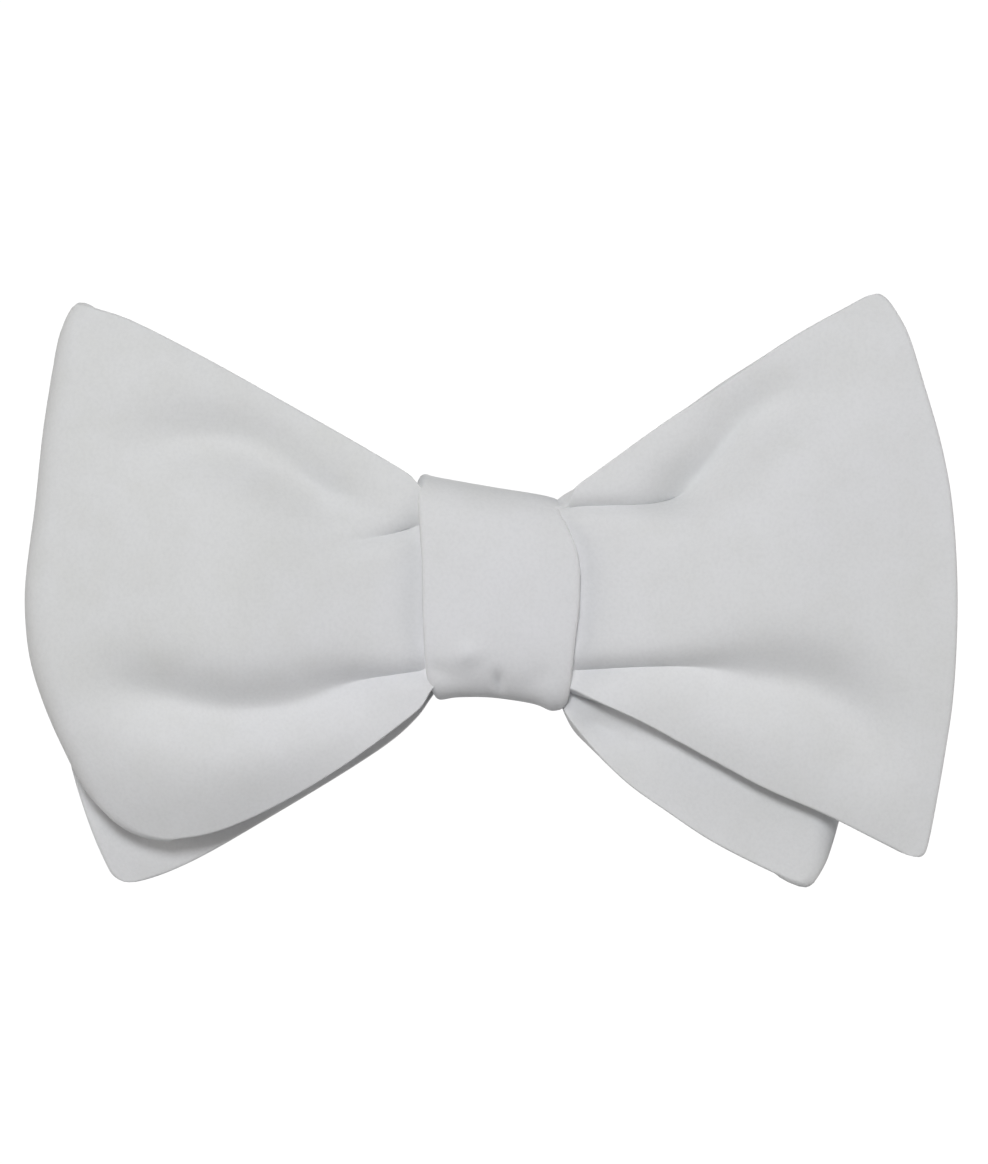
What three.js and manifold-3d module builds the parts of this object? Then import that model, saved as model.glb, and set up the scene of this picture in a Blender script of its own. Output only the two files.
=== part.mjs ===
// A tied self-tie bow tie in white velvet, on its adjustable neckband. Millimetres, +Z up.
// The origin is the flat back of the knot, where it seats on the collar; the bow faces -Y and the neck is at +Y.
// Two strips of cloth make the bow. The front strip is a folded loop on the left and a square-ended blade on the
// right. The rear strip is a blade on the left and a folded loop on the right, and its throat wraps the knot.
import * as THREE from "three";
import { mergeVertices } from "three/addons/utils/BufferGeometryUtils.js";
import Module from "manifold-3d";

const wasm = await Module();
wasm.setup();

// ---------------------------------------------------------------- driving dimensions

// Cloth, and the space left between two pieces that lie on each other.
const FIT_GAP = 0.3;
const VELVET = 0.9;
const CANVAS = 0.4;
const LINING = 0.6;
const STRAP = 0.8;

// Knot: the rear strip's throat, wrapped round the waists of the bow and the ends of the neckband.
const KNOT_WIDTH = 19;
const KNOT_HEIGHT = 27;
const KNOT_VELVET = 1.2;
const KNOT_CANVAS = 0.6;
const KNOT_FRONT_ROUND = 5;
const KNOT_BACK_ROUND = 3;
const KNOT_TOP_SLOPE = 0.01; // the knot's top falls towards the right by this share for each millimetre

// Neckband: an oval loop for a 39 cm collar, flat at the knot and round at the nape.
const BAND_HEIGHT = 19;
const BAND_FLAT = 11;
const NAPE_RADIUS = 57;
const NECK_DEPTH = 128;

// Places along the nape's arc, from the middle of the nape. The wearer's left is +.
const BAND_LEFT_END = -62;
const STRAP_TAIL_END = -57;
const SLIDE_PLACE = -29;
const HOOK_BAR_PLACE = -17;
const EYE_BAR_PLACE = 10;
const TAB_END = 19;
const FLEX_PLACE = 42;

// Stamped hardware for a 16 mm strap.
const STRAP_HEIGHT = 16;
const SIDE_CLEARANCE = 0.8;
const RAIL = 1.6;
const BAR_RADIUS = 0.8;
const EYE_LENGTH = 11;
const EYE_BAR = 1.4;
const HOOK_PLATE = 1.1;
const TONGUE_HEIGHT = 8;
const HOOK_TIP_GAP = 1.8; // from the eye's bar to the end of the hook's tip, while the band is slack
const HOOK_TIP_LENGTH = 2.5;
const SLIDE_LENGTH = 11.6;
const SLIDE_BAR_WIDTH = 1.8;
const SLIDE_BAR = 1.2;
const SLIDE_CLEARANCE = 0.35;

// Lobes, in the front view. Reach is from the knot's middle. A tip is where an edge would end with a sharp
// corner. A sag bows an edge outwards, and an inset is how far a corner falls short of the reach.
const FRONT_LOOP = {
  side: -1,
  reach: 60,
  top: { tip: 37, sag: 1.3, inset: 4.7, corner: 3 },
  bottom: { tip: -29.8, sag: 5, inset: 3.5, corner: 15 },
  bulge: 6,
};
const REAR_BLADE = {
  side: -1,
  reach: 57.8,
  top: { tip: 34, sag: 1, inset: 4.5, corner: 3 },
  bottom: { tip: -38.8, sag: 2.6, inset: 8, corner: 3 },
  bulge: 0,
};
const FRONT_BLADE = {
  side: 1,
  reach: 58,
  top: { tip: 39, sag: 1.3, inset: 7.5, corner: 3 },
  bottom: { tip: -34.9, sag: -0.7, inset: 3.7, corner: 2 },
  bulge: 4.6,
};
const REAR_LOOP = {
  side: 1,
  reach: 47.5,
  top: { tip: 29, sag: 1, inset: 3, corner: 4.5 },
  bottom: { tip: -39.4, sag: 3.8, inset: 4.7, corner: 4.5 },
  bulge: 0,
};
const WING_ROOT_GAP = 1.3; // from the knot's side to the root of a lobe, so that a wing can sweep
const FOLD_HOLLOW = 1; // between the two legs of a loop, at its fold
const TIP_SETBACK = 2.4; // a lobe's tip lies this much nearer the neck than its root
const REAR_TIP_SETBACK = 3.4;
const BEND_LENGTH = 46; // the bend back is spread over this length, from the root
const LEG_COLUMNS = 8;
const FOLD_COLUMNS = 4;
const ROWS = 8;

// ---------------------------------------------------------------- worked-out sizes

const PLY = VELVET + FIT_GAP + CANVAS + FIT_GAP + LINING;
const KNOT_PLY = KNOT_VELVET + FIT_GAP + KNOT_CANVAS;
const KNOT_SIDE = KNOT_WIDTH / 2;
const KNOT_TOP = KNOT_HEIGHT / 2;
const WING_ROOT = KNOT_SIDE + WING_ROOT_GAP;
const NAPE_Y = NECK_DEPTH - NAPE_RADIUS;

// Faces of the stack in the knot, from the collar forwards.
const BAND_INNER = -KNOT_PLY - FIT_GAP;
const BAND_OUTER = BAND_INNER - PLY;
const REAR_BLADE_BACK = BAND_OUTER - FIT_GAP;
const FRONT_LOOP_BACK = REAR_BLADE_BACK - PLY - FIT_GAP;
const LEG_GAP = FIT_GAP;
const LOOP_ROOT = 2 * PLY + LEG_GAP;
const BOW_FRONT = FRONT_LOOP_BACK - LOOP_ROOT;
const KNOT_FRONT = BOW_FRONT - FIT_GAP - KNOT_PLY;
const REAR_LOOP_BACK = REAR_BLADE_BACK;
const WAIST_SPLIT = (BOW_FRONT + REAR_BLADE_BACK) / 2;

// Where each of a ply's three cloths starts and ends, from its outer face inwards.
const CLOTHS = {
  outer: [0, VELVET],
  middle: [VELVET + FIT_GAP, VELVET + FIT_GAP + CANVAS],
  inner: [PLY - LINING, PLY],
};

// ---------------------------------------------------------------- materials

const cloth = (color, roughness) => new THREE.MeshStandardMaterial({ color, roughness, metalness: 0 });
const velvet = cloth(0xd9dbdc, 0.95);
const lining = cloth(0xdcdcdd, 0.45);
const canvas = cloth(0xcfc8b8, 0.9);
const strapSatin = cloth(0xd6d7d9, 0.5);
const thread = cloth(0xe4e4e2, 0.6);
const nickel = new THREE.MeshStandardMaterial({ color: 0xc9c8c4, roughness: 0.25, metalness: 1 });

const bowTie = new THREE.Group();

function addPiece(name, geometry, material, parent = bowTie) {
  const mesh = new THREE.Mesh(geometry, material);
  mesh.name = name;
  parent.add(mesh);
  return mesh;
}

// ---------------------------------------------------------------- solids

const mix = THREE.MathUtils.lerp;
const ease = (t) => THREE.MathUtils.smoothstep(t, 0, 1);

// Turns a closed geometry's faces outwards.
function facingOut(geometry) {
  const p = geometry.getAttribute("position");
  const index = geometry.index.array;
  const [a, b, c] = [new THREE.Vector3(), new THREE.Vector3(), new THREE.Vector3()];
  let volume = 0;
  for (let i = 0; i < index.length; i += 3) {
    a.fromBufferAttribute(p, index[i]);
    b.fromBufferAttribute(p, index[i + 1]);
    c.fromBufferAttribute(p, index[i + 2]);
    volume += a.dot(b.cross(c));
  }
  if (volume < 0) {
    for (let i = 0; i < index.length; i += 3) {
      [index[i + 1], index[i + 2]] = [index[i + 2], index[i + 1]];
    }
  }
  geometry.computeVertexNormals();
  return geometry;
}

// A closed sheet on a grid of columns and rows. pointAt(i, j, face) gives its outer face (0) and inner face (1).
function sheetSolid(columns, rows, pointAt) {
  const positions = [];
  const index = [];
  const id = (i, j, face) => (i * (rows + 1) + j) * 2 + face;
  const quad = (a, b, c, d) => index.push(a, b, c, a, c, d);
  for (let i = 0; i <= columns; i++) {
    for (let j = 0; j <= rows; j++) {
      positions.push(...pointAt(i, j, 0), ...pointAt(i, j, 1));
    }
  }
  for (let i = 0; i < columns; i++) {
    for (let j = 0; j < rows; j++) {
      quad(id(i, j, 0), id(i + 1, j, 0), id(i + 1, j + 1, 0), id(i, j + 1, 0));
      quad(id(i, j, 1), id(i, j + 1, 1), id(i + 1, j + 1, 1), id(i + 1, j, 1));
    }
    quad(id(i, 0, 0), id(i, 0, 1), id(i + 1, 0, 1), id(i + 1, 0, 0));
    quad(id(i, rows, 0), id(i + 1, rows, 0), id(i + 1, rows, 1), id(i, rows, 1));
  }
  for (let j = 0; j < rows; j++) {
    quad(id(0, j, 0), id(0, j + 1, 0), id(0, j + 1, 1), id(0, j, 1));
    quad(id(columns, j, 0), id(columns, j, 1), id(columns, j + 1, 1), id(columns, j + 1, 0));
  }
  const geometry = new THREE.BufferGeometry();
  geometry.setAttribute("position", new THREE.Float32BufferAttribute(positions, 3));
  geometry.setIndex(index);
  return facingOut(geometry);
}

// A plan outline stood up to a height, centred on z = 0.
function upright(shape, height, curveSegments = 8) {
  const geometry = new THREE.ExtrudeGeometry(shape, { depth: height, bevelEnabled: false, curveSegments });
  return geometry.translate(0, 0, -height / 2);
}

// A box from its low corner to its high corner.
function block(low, high) {
  const size = high.map((value, k) => value - low[k]);
  const middle = high.map((value, k) => (value + low[k]) / 2);
  return new THREE.BoxGeometry(...size).translate(...middle);
}

// A round bar that stands on z, at a place in plan.
function bar(x, y, radius, height) {
  return new THREE.CylinderGeometry(radius, radius, height, 16).rotateX(Math.PI / 2).translate(x, y, 0);
}

function manifoldOf(geometry) {
  const bare = geometry.clone();
  for (const name of ["normal", "uv"]) bare.deleteAttribute(name);
  const merged = mergeVertices(bare, 1e-4);
  return new wasm.Manifold(
    new wasm.Mesh({
      numProp: 3,
      vertProperties: merged.getAttribute("position").array,
      triVerts: new Uint32Array(merged.index.array),
    }),
  );
}

// Several overlapping shapes as one solid.
function joined(...geometries) {
  const whole = geometries.map(manifoldOf).reduce((sum, next) => sum.add(next));
  const mesh = whole.getMesh();
  const geometry = new THREE.BufferGeometry();
  geometry.setAttribute("position", new THREE.BufferAttribute(mesh.vertProperties, 3));
  geometry.setIndex(new THREE.BufferAttribute(mesh.triVerts, 1));
  geometry.computeVertexNormals();
  return geometry;
}

// ---------------------------------------------------------------- lobes of the bow

// Height of a lobe's edge at a distance out from the knot.
function edgeHeight(lobe, edge, distance) {
  const root = Math.sign(edge.tip) * KNOT_TOP;
  const run = lobe.reach - edge.inset - WING_ROOT;
  const t = (distance - WING_ROOT) / run;
  return mix(root, edge.tip, t) + Math.sign(edge.tip) * edge.sag * 4 * t * (1 - t);
}

// How far a rounded corner takes a row back, for a row at some height from that corner's edge.
function cornerSetback(radius, fromEdge) {
  const t = 1 - Math.min(fromEdge / radius, 1);
  return radius * (1 - Math.sqrt(1 - t * t));
}

// The furthest point of a row. v runs from 0 at the bottom edge to 1 at the top edge.
function rowReach(lobe, v) {
  const height = lobe.top.tip - lobe.bottom.tip;
  const edge = v < 0.5 ? lobe.bottom : lobe.top;
  const inset = edge.inset * (2 * v - 1) ** 2;
  const rounding =
    cornerSetback(lobe.top.corner, (1 - v) * height) + cornerSetback(lobe.bottom.corner, v * height);
  return lobe.reach - inset - rounding;
}

function heightAt(lobe, distance, v) {
  return mix(edgeHeight(lobe, lobe.bottom, distance), edgeHeight(lobe, lobe.top, distance), v);
}

// How far a front cloth stands forward: one broad swell, with two pleats that fan out of the knot and fade.
function relief(lobe, u, v) {
  const lift = 0.1 + 0.9 * Math.sin(Math.PI * Math.min(1, u ** 0.8)) + 0.2 * u;
  const swell = lobe.bulge * lift * (1 - (2 * v - 1) ** 2);
  const fade = Math.max(0, 1 - u / 0.85);
  const pleat = (place) => Math.exp(-(((v - place) / 0.07) ** 2));
  return swell * (1 - 0.8 * fade * (pleat(0.82 + 0.05 * u) + pleat(0.12 + 0.35 * u)));
}

// How far back a lobe has bent at a distance out from the knot. Lobes that lie on each other bend alike.
const bentBack = (setback, distance) => setback * ease((distance - WING_ROOT) / BEND_LENGTH);

// Rows crowd towards the edges, where the corners are round.
const rowPlace = (j) => (1 - Math.cos((Math.PI * j) / ROWS)) / 2;

// One cloth of a blade: front is the y of its front face at the root.
function bladeCloth(lobe, front, setback, [near, far], inset = 0) {
  return sheetSolid(LEG_COLUMNS - inset, ROWS - 2 * inset, (i, j, face) => {
    const u = i / LEG_COLUMNS;
    const v = rowPlace(j + inset);
    const distance = mix(WING_ROOT, rowReach(lobe, v), u);
    const y = front + bentBack(setback, distance) - relief(lobe, u, v);
    return [lobe.side * distance, y + (face ? far : near), heightAt(lobe, distance, v)];
  });
}

// One cloth of a folded loop: out along the front leg, round the fold, and back along the rear leg.
function loopCloth(lobe, back, setback, [near, far], inset = 0) {
  const tipHalf = PLY + FOLD_HOLLOW / 2;
  const rootHalf = LOOP_ROOT / 2;
  return sheetSolid(2 * LEG_COLUMNS + FOLD_COLUMNS, ROWS - 2 * inset, (i, j, face) => {
    const v = rowPlace(j + inset);
    const depth = face ? far : near;
    const foldCentre = rowReach(lobe, v) - tipHalf;
    const onFold = i > LEG_COLUMNS && i < LEG_COLUMNS + FOLD_COLUMNS;
    const leg = i <= LEG_COLUMNS ? -1 : 1;
    const u = onFold ? 1 : (leg < 0 ? i : 2 * LEG_COLUMNS + FOLD_COLUMNS - i) / LEG_COLUMNS;
    const place = mix(WING_ROOT, foldCentre, u);
    const middle = back - rootHalf + bentBack(setback, place);
    const half = mix(rootHalf, tipHalf, ease(u));
    if (onFold) {
      const angle = (Math.PI * (i - LEG_COLUMNS)) / FOLD_COLUMNS;
      const lean = Math.max(0, Math.cos(angle)) * relief(lobe, 1, v);
      const distance = foldCentre + (tipHalf - depth) * Math.sin(angle);
      const z = heightAt(lobe, foldCentre + tipHalf * Math.sin(angle), v);
      return [lobe.side * distance, middle - (tipHalf - depth) * Math.cos(angle) - lean, z];
    }
    const forward = leg < 0 ? relief(lobe, u, v) : 0;
    return [lobe.side * place, middle + leg * (half - depth) - forward, heightAt(lobe, place, v)];
  });
}

function addBlade(name, lobe, front, setback, parent) {
  addPiece(`${name}_face_cloth`, bladeCloth(lobe, front, setback, CLOTHS.outer), velvet, parent);
  addPiece(`${name}_interlining`, bladeCloth(lobe, front, setback, CLOTHS.middle, 1), canvas, parent);
  addPiece(`${name}_back_cloth`, bladeCloth(lobe, front, setback, CLOTHS.inner), velvet, parent);
}

function addLoop(name, lobe, back, setback, parent) {
  addPiece(`${name}_outer_cloth`, loopCloth(lobe, back, setback, CLOTHS.outer), velvet, parent);
  addPiece(`${name}_interlining`, loopCloth(lobe, back, setback, CLOTHS.middle, 1), canvas, parent);
  addPiece(`${name}_inner_cloth`, loopCloth(lobe, back, setback, CLOTHS.inner), velvet, parent);
}

// ---------------------------------------------------------------- knot

// A rounded outline in the y-z plane, inset from the knot's own, drawn with y as the shape's first axis.
function knotOutline(Path, inset) {
  const [front, back, top] = [KNOT_FRONT + inset, -inset, KNOT_TOP - inset];
  const roundFront = Math.max(0.5, KNOT_FRONT_ROUND - inset);
  const roundBack = Math.max(0.5, KNOT_BACK_ROUND - inset);
  const outline = new Path();
  outline.moveTo(back, -top + roundBack);
  outline.lineTo(back, top - roundBack);
  outline.absarc(back - roundBack, top - roundBack, roundBack, 0, Math.PI / 2);
  outline.lineTo(front + roundFront, top);
  outline.absarc(front + roundFront, top - roundFront, roundFront, Math.PI / 2, Math.PI);
  outline.lineTo(front, -top + roundFront);
  outline.absarc(front + roundFront, -top + roundFront, roundFront, Math.PI, 1.5 * Math.PI);
  outline.lineTo(back - roundBack, -top);
  outline.absarc(back - roundBack, -top + roundBack, roundBack, 1.5 * Math.PI, 2 * Math.PI);
  return outline;
}

// A sleeve round the waists, from one inset to another. Its top slopes as the tied knot's does.
function knotSleeve(outerInset, innerInset, width) {
  const shape = knotOutline(THREE.Shape, outerInset);
  shape.holes.push(knotOutline(THREE.Path, innerInset));
  const geometry = new THREE.ExtrudeGeometry(shape, { depth: width, bevelEnabled: false, curveSegments: 5 });
  const place = new THREE.Matrix4().set(0, 0, 1, -width / 2, 1, 0, 0, 0, 0, 1, 0, 0, 0, 0, 0, 1);
  geometry.applyMatrix4(place);
  const p = geometry.getAttribute("position");
  for (let i = 0; i < p.count; i++) {
    if (p.getZ(i) > 0) p.setZ(i, p.getZ(i) * (1 - KNOT_TOP_SLOPE * p.getX(i)));
  }
  return geometry;
}

function addKnot() {
  const canvasStart = KNOT_VELVET + FIT_GAP;
  addPiece("knot_wrap", knotSleeve(0, KNOT_VELVET, KNOT_WIDTH), velvet);
  addPiece("knot_wrap_interlining", knotSleeve(canvasStart, KNOT_PLY, KNOT_WIDTH - 1), canvas);
  const waistHalf = (KNOT_TOP - KNOT_PLY) * (1 - KNOT_TOP_SLOPE * KNOT_SIDE) - FIT_GAP;
  const x = KNOT_SIDE - FIT_GAP;
  const shoulder = KNOT_FRONT_ROUND / 2;
  const frontWaist = new THREE.Shape();
  frontWaist.moveTo(WAIST_SPLIT - FIT_GAP / 2, -waistHalf);
  frontWaist.lineTo(WAIST_SPLIT - FIT_GAP / 2, waistHalf);
  frontWaist.lineTo(BOW_FRONT + shoulder, waistHalf);
  frontWaist.absarc(BOW_FRONT + shoulder, waistHalf - shoulder, shoulder, Math.PI / 2, Math.PI);
  frontWaist.absarc(BOW_FRONT + shoulder, -waistHalf + shoulder, shoulder, Math.PI, 1.5 * Math.PI);
  const acrossKnot = new THREE.Matrix4().set(0, 0, 1, -x, 1, 0, 0, 0, 0, 1, 0, 0, 0, 0, 0, 1);
  const gathered = new THREE.ExtrudeGeometry(frontWaist, { depth: 2 * x, bevelEnabled: false, curveSegments: 5 });
  addPiece("front_bow_waist", gathered.applyMatrix4(acrossKnot), velvet);
  const low = [-x, WAIST_SPLIT + FIT_GAP / 2, -waistHalf];
  addPiece("rear_bow_waist", block(low, [x, REAR_BLADE_BACK, waistHalf]), velvet);
}

// ---------------------------------------------------------------- neckband

// A place on the band's neck side, and the direction away from the neck. Stretch 0 to 1 is the flat at the knot,
// 1 to 2 the side, and 2 to 3 the nape, ending at its middle.
function bandPlace(side, stretch) {
  if (stretch <= 1) {
    return { at: new THREE.Vector2(side * BAND_FLAT * stretch, BAND_INNER), out: new THREE.Vector2(0, -1) };
  }
  if (stretch <= 2) {
    const [a, b] = [NAPE_RADIUS - BAND_FLAT, NAPE_Y - BAND_INNER];
    const angle = ((stretch - 1) * Math.PI) / 2;
    const at = new THREE.Vector2(side * (BAND_FLAT + a * Math.sin(angle)), NAPE_Y - b * Math.cos(angle));
    const out = new THREE.Vector2(side * b * Math.sin(angle), -a * Math.cos(angle)).normalize();
    return { at, out };
  }
  return napePlace(side * (3 - stretch) * NAPE_RADIUS * (Math.PI / 2));
}

// A place on the nape, by its distance along the arc from the middle.
function napePlace(along) {
  const angle = along / NAPE_RADIUS;
  const out = new THREE.Vector2(Math.sin(angle), Math.cos(angle));
  return { at: out.clone().multiplyScalar(NAPE_RADIUS).add(new THREE.Vector2(0, NAPE_Y)), out };
}

const napeStretch = (along) => 3 - Math.abs(along) / (NAPE_RADIUS * (Math.PI / 2));

// A strip that follows a run of places, between two distances out from the neck side.
function stripAlong(places, near, far, height) {
  const offset = (distance) => places.map(({ at, out }) => at.clone().addScaledVector(out, distance));
  const shape = new THREE.Shape([...offset(near), ...offset(far).reverse()]);
  return upright(shape, height);
}

// Velvet outside, canvas between and lining on the neck side, along one run of the band.
function addBand(name, places, parent) {
  const [outer, middle, inner] = [CLOTHS.outer, CLOTHS.middle, CLOTHS.inner];
  const turned = places.slice(1, -1);
  addPiece(`band_velvet_${name}`, stripAlong(places, PLY - outer[1], PLY, BAND_HEIGHT), velvet, parent);
  const canvasHeight = BAND_HEIGHT - 2;
  const canvasCloth = stripAlong(turned, PLY - middle[1], PLY - middle[0], canvasHeight);
  addPiece(`band_interlining_${name}`, canvasCloth, canvas, parent);
  addPiece(`band_lining_${name}`, stripAlong(places, 0, PLY - inner[0], BAND_HEIGHT - 1), lining, parent);
}

function bandRun(side, from, to, steps) {
  return Array.from({ length: steps + 1 }, (_, i) => bandPlace(side, mix(from, to, i / steps)));
}

// ---------------------------------------------------------------- straps

const STRAP_LAYERS = 2 * STRAP + FIT_GAP;
const STRAP_MIDDLE = STRAP_LAYERS / 2;
const LOOP_TURN = BAR_RADIUS + FIT_GAP + STRAP / 2;

// A strap that runs along the nape, turns round a bar and comes back on the neck side.
// toBar is +1 where the bar lies towards +along, and the runs start at outerEnd and innerEnd.
function turnedStrap(barPlace, outerEnd, innerEnd) {
  const toBar = Math.sign(barPlace - outerEnd);
  const spread = 5; // the two runs part over this length before the bar
  const run = (end, sign) => {
    const steps = 12;
    return Array.from({ length: steps }, (_, i) => {
      const along = mix(end, barPlace, i / steps);
      const near = ease(1 - Math.min(1, Math.abs(barPlace - along) / spread));
      const { at, out } = napePlace(along);
      const apart = mix((STRAP + FIT_GAP) / 2, LOOP_TURN, near);
      return at.addScaledVector(out, STRAP_MIDDLE + sign * apart);
    });
  };
  const { at: foot, out } = napePlace(barPlace);
  const centre = foot.addScaledVector(out, STRAP_MIDDLE);
  const ahead = new THREE.Vector2(out.y, -out.x).multiplyScalar(toBar);
  const turn = Array.from({ length: 9 }, (_, i) => {
    const angle = (Math.PI * i) / 8;
    const arm = out.clone().multiplyScalar(Math.cos(angle)).addScaledVector(ahead, Math.sin(angle));
    return centre.clone().addScaledVector(arm, LOOP_TURN);
  });
  const line = [...run(outerEnd, 1), ...turn, ...run(innerEnd, -1).reverse()];
  const side = (sign) =>
    line.map((point, i) => {
      const before = line[Math.max(0, i - 1)];
      const after = line[Math.min(line.length - 1, i + 1)];
      const along = after.clone().sub(before).normalize();
      return new THREE.Vector2(-along.y, along.x).multiplyScalar((sign * STRAP) / 2).add(point);
    });
  return upright(new THREE.Shape([...side(1), ...side(-1).reverse()]), STRAP_HEIGHT);
}

// A dense row of stitches across a strap, standing on its outer face.
function bartack(along) {
  const length = 2;
  const places = [-0.5, 0.5].map((share) => napePlace(along + share * length));
  const foot = STRAP_LAYERS + FIT_GAP;
  return stripAlong(places, foot, foot + 0.4, STRAP_HEIGHT - 4);
}

// ---------------------------------------------------------------- hardware

const RAIL_INNER = STRAP_HEIGHT / 2 + SIDE_CLEARANCE;
const RAIL_OUTER = RAIL_INNER + RAIL;

// A group whose x runs along the nape and whose y points away from the neck, with its origin in the strap.
function napeGroup(along, out = STRAP_MIDDLE) {
  const place = napePlace(along);
  const group = new THREE.Group();
  const at = place.at.addScaledVector(place.out, out);
  group.position.set(at.x, at.y, 0);
  group.rotation.z = -along / NAPE_RADIUS;
  bowTie.add(group);
  return group;
}

// Two rails that join a frame's bars, above and below the strap.
function rails(fromX, toX, fromY, toY) {
  return [1, -1].map((sign) => {
    const [low, high] = [RAIL_INNER * sign, RAIL_OUTER * sign].sort((a, b) => a - b);
    return block([fromX, fromY, low], [toX, toY, high]);
  });
}

// The ring that the hook takes. Its round bar turns in the tab, and its square bar lies towards the hook.
function eyeFrame() {
  const half = EYE_BAR / 2;
  return joined(
    bar(0, 0, BAR_RADIUS, 2 * RAIL_OUTER),
    block([-EYE_LENGTH - half, -half, -RAIL_OUTER], [-EYE_LENGTH + half, half, RAIL_OUTER]),
    ...rails(-EYE_LENGTH, 0, -half, half),
  );
}

// The hook's plate runs under the eye's bar, and its tip comes back over it through the ring.
function hookPlate(tongue) {
  const half = HOOK_PLATE / 2;
  const turn = (EYE_BAR + 2 * FIT_GAP + HOOK_PLATE) / 2;
  const shoulder = BAR_RADIUS + FIT_GAP + STRAP + 0.7;
  const shoulderWidth = 2.4;
  const j = new THREE.Shape();
  j.moveTo(shoulder, -half);
  j.lineTo(tongue, -half);
  j.absarc(tongue, turn, turn + half, -Math.PI / 2, Math.PI / 2);
  j.lineTo(tongue - HOOK_TIP_LENGTH, 2 * turn + half);
  j.lineTo(tongue - HOOK_TIP_LENGTH, 2 * turn - half);
  j.lineTo(tongue, 2 * turn - half);
  j.absarc(tongue, turn, turn - half, Math.PI / 2, -Math.PI / 2, true);
  j.lineTo(shoulder, half);
  return joined(
    bar(0, 0, BAR_RADIUS, 2 * RAIL_OUTER),
    ...rails(0, shoulder + shoulderWidth, -half, half),
    block([shoulder, -half, -RAIL_OUTER], [shoulder + shoulderWidth, half, RAIL_OUTER]),
    upright(j, TONGUE_HEIGHT, 10),
  );
}

// Three bars on two rails: the middle bar lies on the neck side of the strap, and the end bars outside it.
function slideFrame() {
  const outside = STRAP_MIDDLE + SLIDE_CLEARANCE;
  const end = SLIDE_LENGTH / 2;
  const barAt = (low, high, fromY, toY) => block([low, fromY, -RAIL_OUTER], [high, toY, RAIL_OUTER]);
  return joined(
    barAt(-end, -end + SLIDE_BAR_WIDTH, outside, outside + SLIDE_BAR),
    barAt(end - SLIDE_BAR_WIDTH, end, outside, outside + SLIDE_BAR),
    barAt(-SLIDE_BAR_WIDTH / 2, SLIDE_BAR_WIDTH / 2, -outside - SLIDE_BAR, -outside),
    ...rails(-end, end, -outside - SLIDE_BAR, outside + SLIDE_BAR),
  );
}

// The hook reaches from its own bar to just under the eye's square bar, wherever those two lie.
function addClasp() {
  const eye = napeGroup(EYE_BAR_PLACE);
  const eyeEnd = napePlace(EYE_BAR_PLACE - EYE_LENGTH);
  const eyeBar = eyeEnd.at.addScaledVector(eyeEnd.out, STRAP_MIDDLE);
  const eyeLean = Math.atan2(eye.position.y - eyeBar.y, eye.position.x - eyeBar.x);
  eye.rotation.z = eyeLean;
  addPiece("eye_ring", eyeFrame(), nickel, eye);

  const hook = napeGroup(HOOK_BAR_PLACE);
  const target = eyeBar.clone().sub(new THREE.Vector2(0, (EYE_BAR + HOOK_PLATE) / 2 + FIT_GAP));
  const [dx, dy] = [target.x - hook.position.x, target.y - hook.position.y];
  hook.rotation.z = Math.atan2(dy, dx);
  const tongue = Math.hypot(dx, dy) + EYE_BAR / 2 + HOOK_TIP_GAP + HOOK_TIP_LENGTH;
  addPiece("hook", hookPlate(tongue), nickel, hook);
  addPiece("adjuster_slide", slideFrame(), nickel, napeGroup(SLIDE_PLACE));
}

// ---------------------------------------------------------------- the bow tie

addKnot();
addLoop("front_loop", FRONT_LOOP, FRONT_LOOP_BACK, TIP_SETBACK, bowTie);
addBlade("rear_blade", REAR_BLADE, REAR_BLADE_BACK - PLY, REAR_TIP_SETBACK, bowTie);
addBlade("front_blade", FRONT_BLADE, BOW_FRONT, TIP_SETBACK, bowTie);
addLoop("rear_loop", REAR_LOOP, REAR_LOOP_BACK, REAR_TIP_SETBACK, bowTie);

const seam = FIT_GAP / (2 * BAND_FLAT);
addBand("left", bandRun(-1, seam, napeStretch(BAND_LEFT_END), 30), bowTie);
addBand("right", bandRun(1, seam, napeStretch(FLEX_PLACE + FIT_GAP / 2), 32), bowTie);
addBand("end", bandRun(1, napeStretch(FLEX_PLACE - FIT_GAP / 2), napeStretch(TAB_END), 6), bowTie);

addPiece("adjuster_strap", turnedStrap(HOOK_BAR_PLACE, BAND_LEFT_END + FIT_GAP, STRAP_TAIL_END), strapSatin);
addPiece("strap_bartack", bartack(BAND_LEFT_END + 3), thread);
addPiece("eye_tab", turnedStrap(EYE_BAR_PLACE, TAB_END - FIT_GAP, TAB_END - FIT_GAP), strapSatin);
addPiece("eye_tab_bartack", bartack(TAB_END - 2), thread);
addClasp();

export default bowTie;
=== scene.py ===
"""A tied white velvet bow tie on its adjustable neckband, with a satin lining and nickel-plated hardware.

The bow faces -Y, the neck is at +Y and +Z is up. Sizes below are millimetres; meshes are built in metres.
"""

import logging
import math
from dataclasses import dataclass, field
from enum import Enum
from typing import Any, Sequence

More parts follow.
